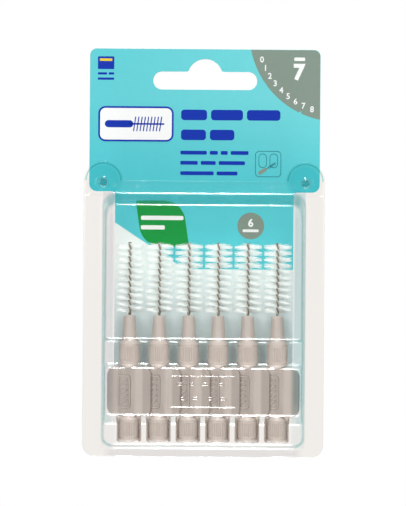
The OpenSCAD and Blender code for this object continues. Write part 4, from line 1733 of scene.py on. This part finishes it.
def makeBackdrop():
    # white paper well behind the hanging pack, swept into a pale floor far below it. It is pure
    # white to the camera, in mirrors and through what is clear. Its tooth is drawn coarse
    finish = newFinish("whitePaper")
    place = addNode(finish, "ShaderNodeTexCoord").outputs["Object"]
    tooth = addNode(finish, "ShaderNodeTexNoise", {"Scale": noiseScale(16.67)}, {"Vector": place})
    tone = addNode(finish, "ShaderNodeMix", {6: linear("#f4f4f2"), 7: linear("#fafaf9")},
                   {0: tooth.outputs[0]}, data_type="RGBA")
    paper = addNode(finish, "ShaderNodeBsdfPrincipled", {"Roughness": 0.9},
                    {"Base Color": tone.outputs[2]})
    white = addNode(finish, "ShaderNodeEmission", {"Color": (1, 1, 1, 1), "Strength": 1.0})
    ray = addNode(finish, "ShaderNodeLightPath").outputs
    seen = ray["Is Camera Ray"]
    for kind in ("Is Glossy Ray", "Is Transmission Ray"):
        seen = addNode(finish, "ShaderNodeMath", links={0: seen, 1: ray[kind]},
                       operation="MAXIMUM").outputs[0]
    mixed = addNode(finish, "ShaderNodeMixShader",
                    links={0: seen, 1: paper.outputs[0], 2: white.outputs[0]})
    addNode(finish, "ShaderNodeOutputMaterial", links={0: mixed.outputs[0]})
    sheet = bmesh.new()
    bmesh.ops.create_grid(sheet, x_segments=1, y_segments=1, size=studio["paperHalf"],
                          matrix=onCard(0, studio["centreZ"], studio["paperBack"]))
    low = min(sheet.edges, key=lambda edge: edge.verts[0].co.z + edge.verts[1].co.z)
    floor = bmesh.ops.extrude_edge_only(sheet, edges=[low])["geom"]
    bmesh.ops.translate(sheet, vec=(0, -2 * studio["paperHalf"], 0),
                        verts=[part for part in floor if isinstance(part, bmesh.types.BMVert)])
    roundOff(sheet, [low], studio["paperSweep"], 12)
    bmesh.ops.scale(sheet, vec=(mm, mm, mm), verts=sheet.verts)
    mesh = bpy.data.meshes.new("backdrop")
    sheet.to_mesh(mesh)
    sheet.free()
    mesh.materials.append(finish)
    backdrop = bpy.data.objects.new("backdrop", mesh)
    bpy.context.scene.collection.objects.link(backdrop)


def makeStudio():
    s = studio
    distance = s["pixelRows"] * s["pixel"] / s["sensor"] * s["lens"]
    lens = bpy.data.cameras.new("camera")
    lens.lens, lens.sensor_width = s["lens"], s["sensor"]
    lens.clip_start, lens.clip_end = 0.01, 20
    camera = bpy.data.objects.new("camera", lens)
    camera.matrix_world = aimed((s["centreX"], -distance, s["centreZ"]),
                                (s["centreX"], 0, s["centreZ"]), s["roll"])
    bpy.context.scene.collection.objects.link(camera)
    bpy.context.scene.camera = camera
    middle = (0, 0, s["centreZ"])
    out = s["stripReach"] * math.cos(math.radians(s["stripTurn"]))
    rise = s["stripReach"] * math.sin(math.radians(s["stripTurn"]))
    for name, way in (("topStrip", 1), ("lowStrip", -1)):
        areaLight(name, (0, -out, s["centreZ"] + way * rise), middle, s["stripWidth"],
                  s["stripDepth"], s["stripPower"])
    for name, way, power in (("frontLeft", -1, s["leftPower"]), ("frontRight", 1, s["rightPower"])):
        areaLight(name, (way * s["frontX"], s["frontY"], s["centreZ"] + s["frontRise"]), middle,
                  *s["frontSize"], power)
    areaLight("backSoft", (0, s["backY"], s["centreZ"] + s["backRise"]), middle, *s["backSize"],
              s["backPower"])

    world = bpy.data.worlds.new("studio")
    bpy.context.scene.world = world
    world.use_nodes = True
    world.node_tree.nodes.clear()
    sky = addNode(world, "ShaderNodeBackground",
                  {"Color": linear("#f9f8f7"), "Strength": s["skyStrength"]})
    white = addNode(world, "ShaderNodeBackground", {"Color": (1, 1, 1, 1), "Strength": 1.0})
    ray = addNode(world, "ShaderNodeLightPath").outputs
    mixed = addNode(world, "ShaderNodeMixShader",
                    links={0: ray["Is Camera Ray"], 1: sky.outputs[0], 2: white.outputs[0]})
    addNode(world, "ShaderNodeOutputWorld", links={0: mixed.outputs[0]})
    makeBackdrop()
    bpy.context.scene.view_settings.view_transform = "Standard"
    bpy.context.scene.cycles.transparent_max_bounces = 32


makeStudio()
print("studio made")
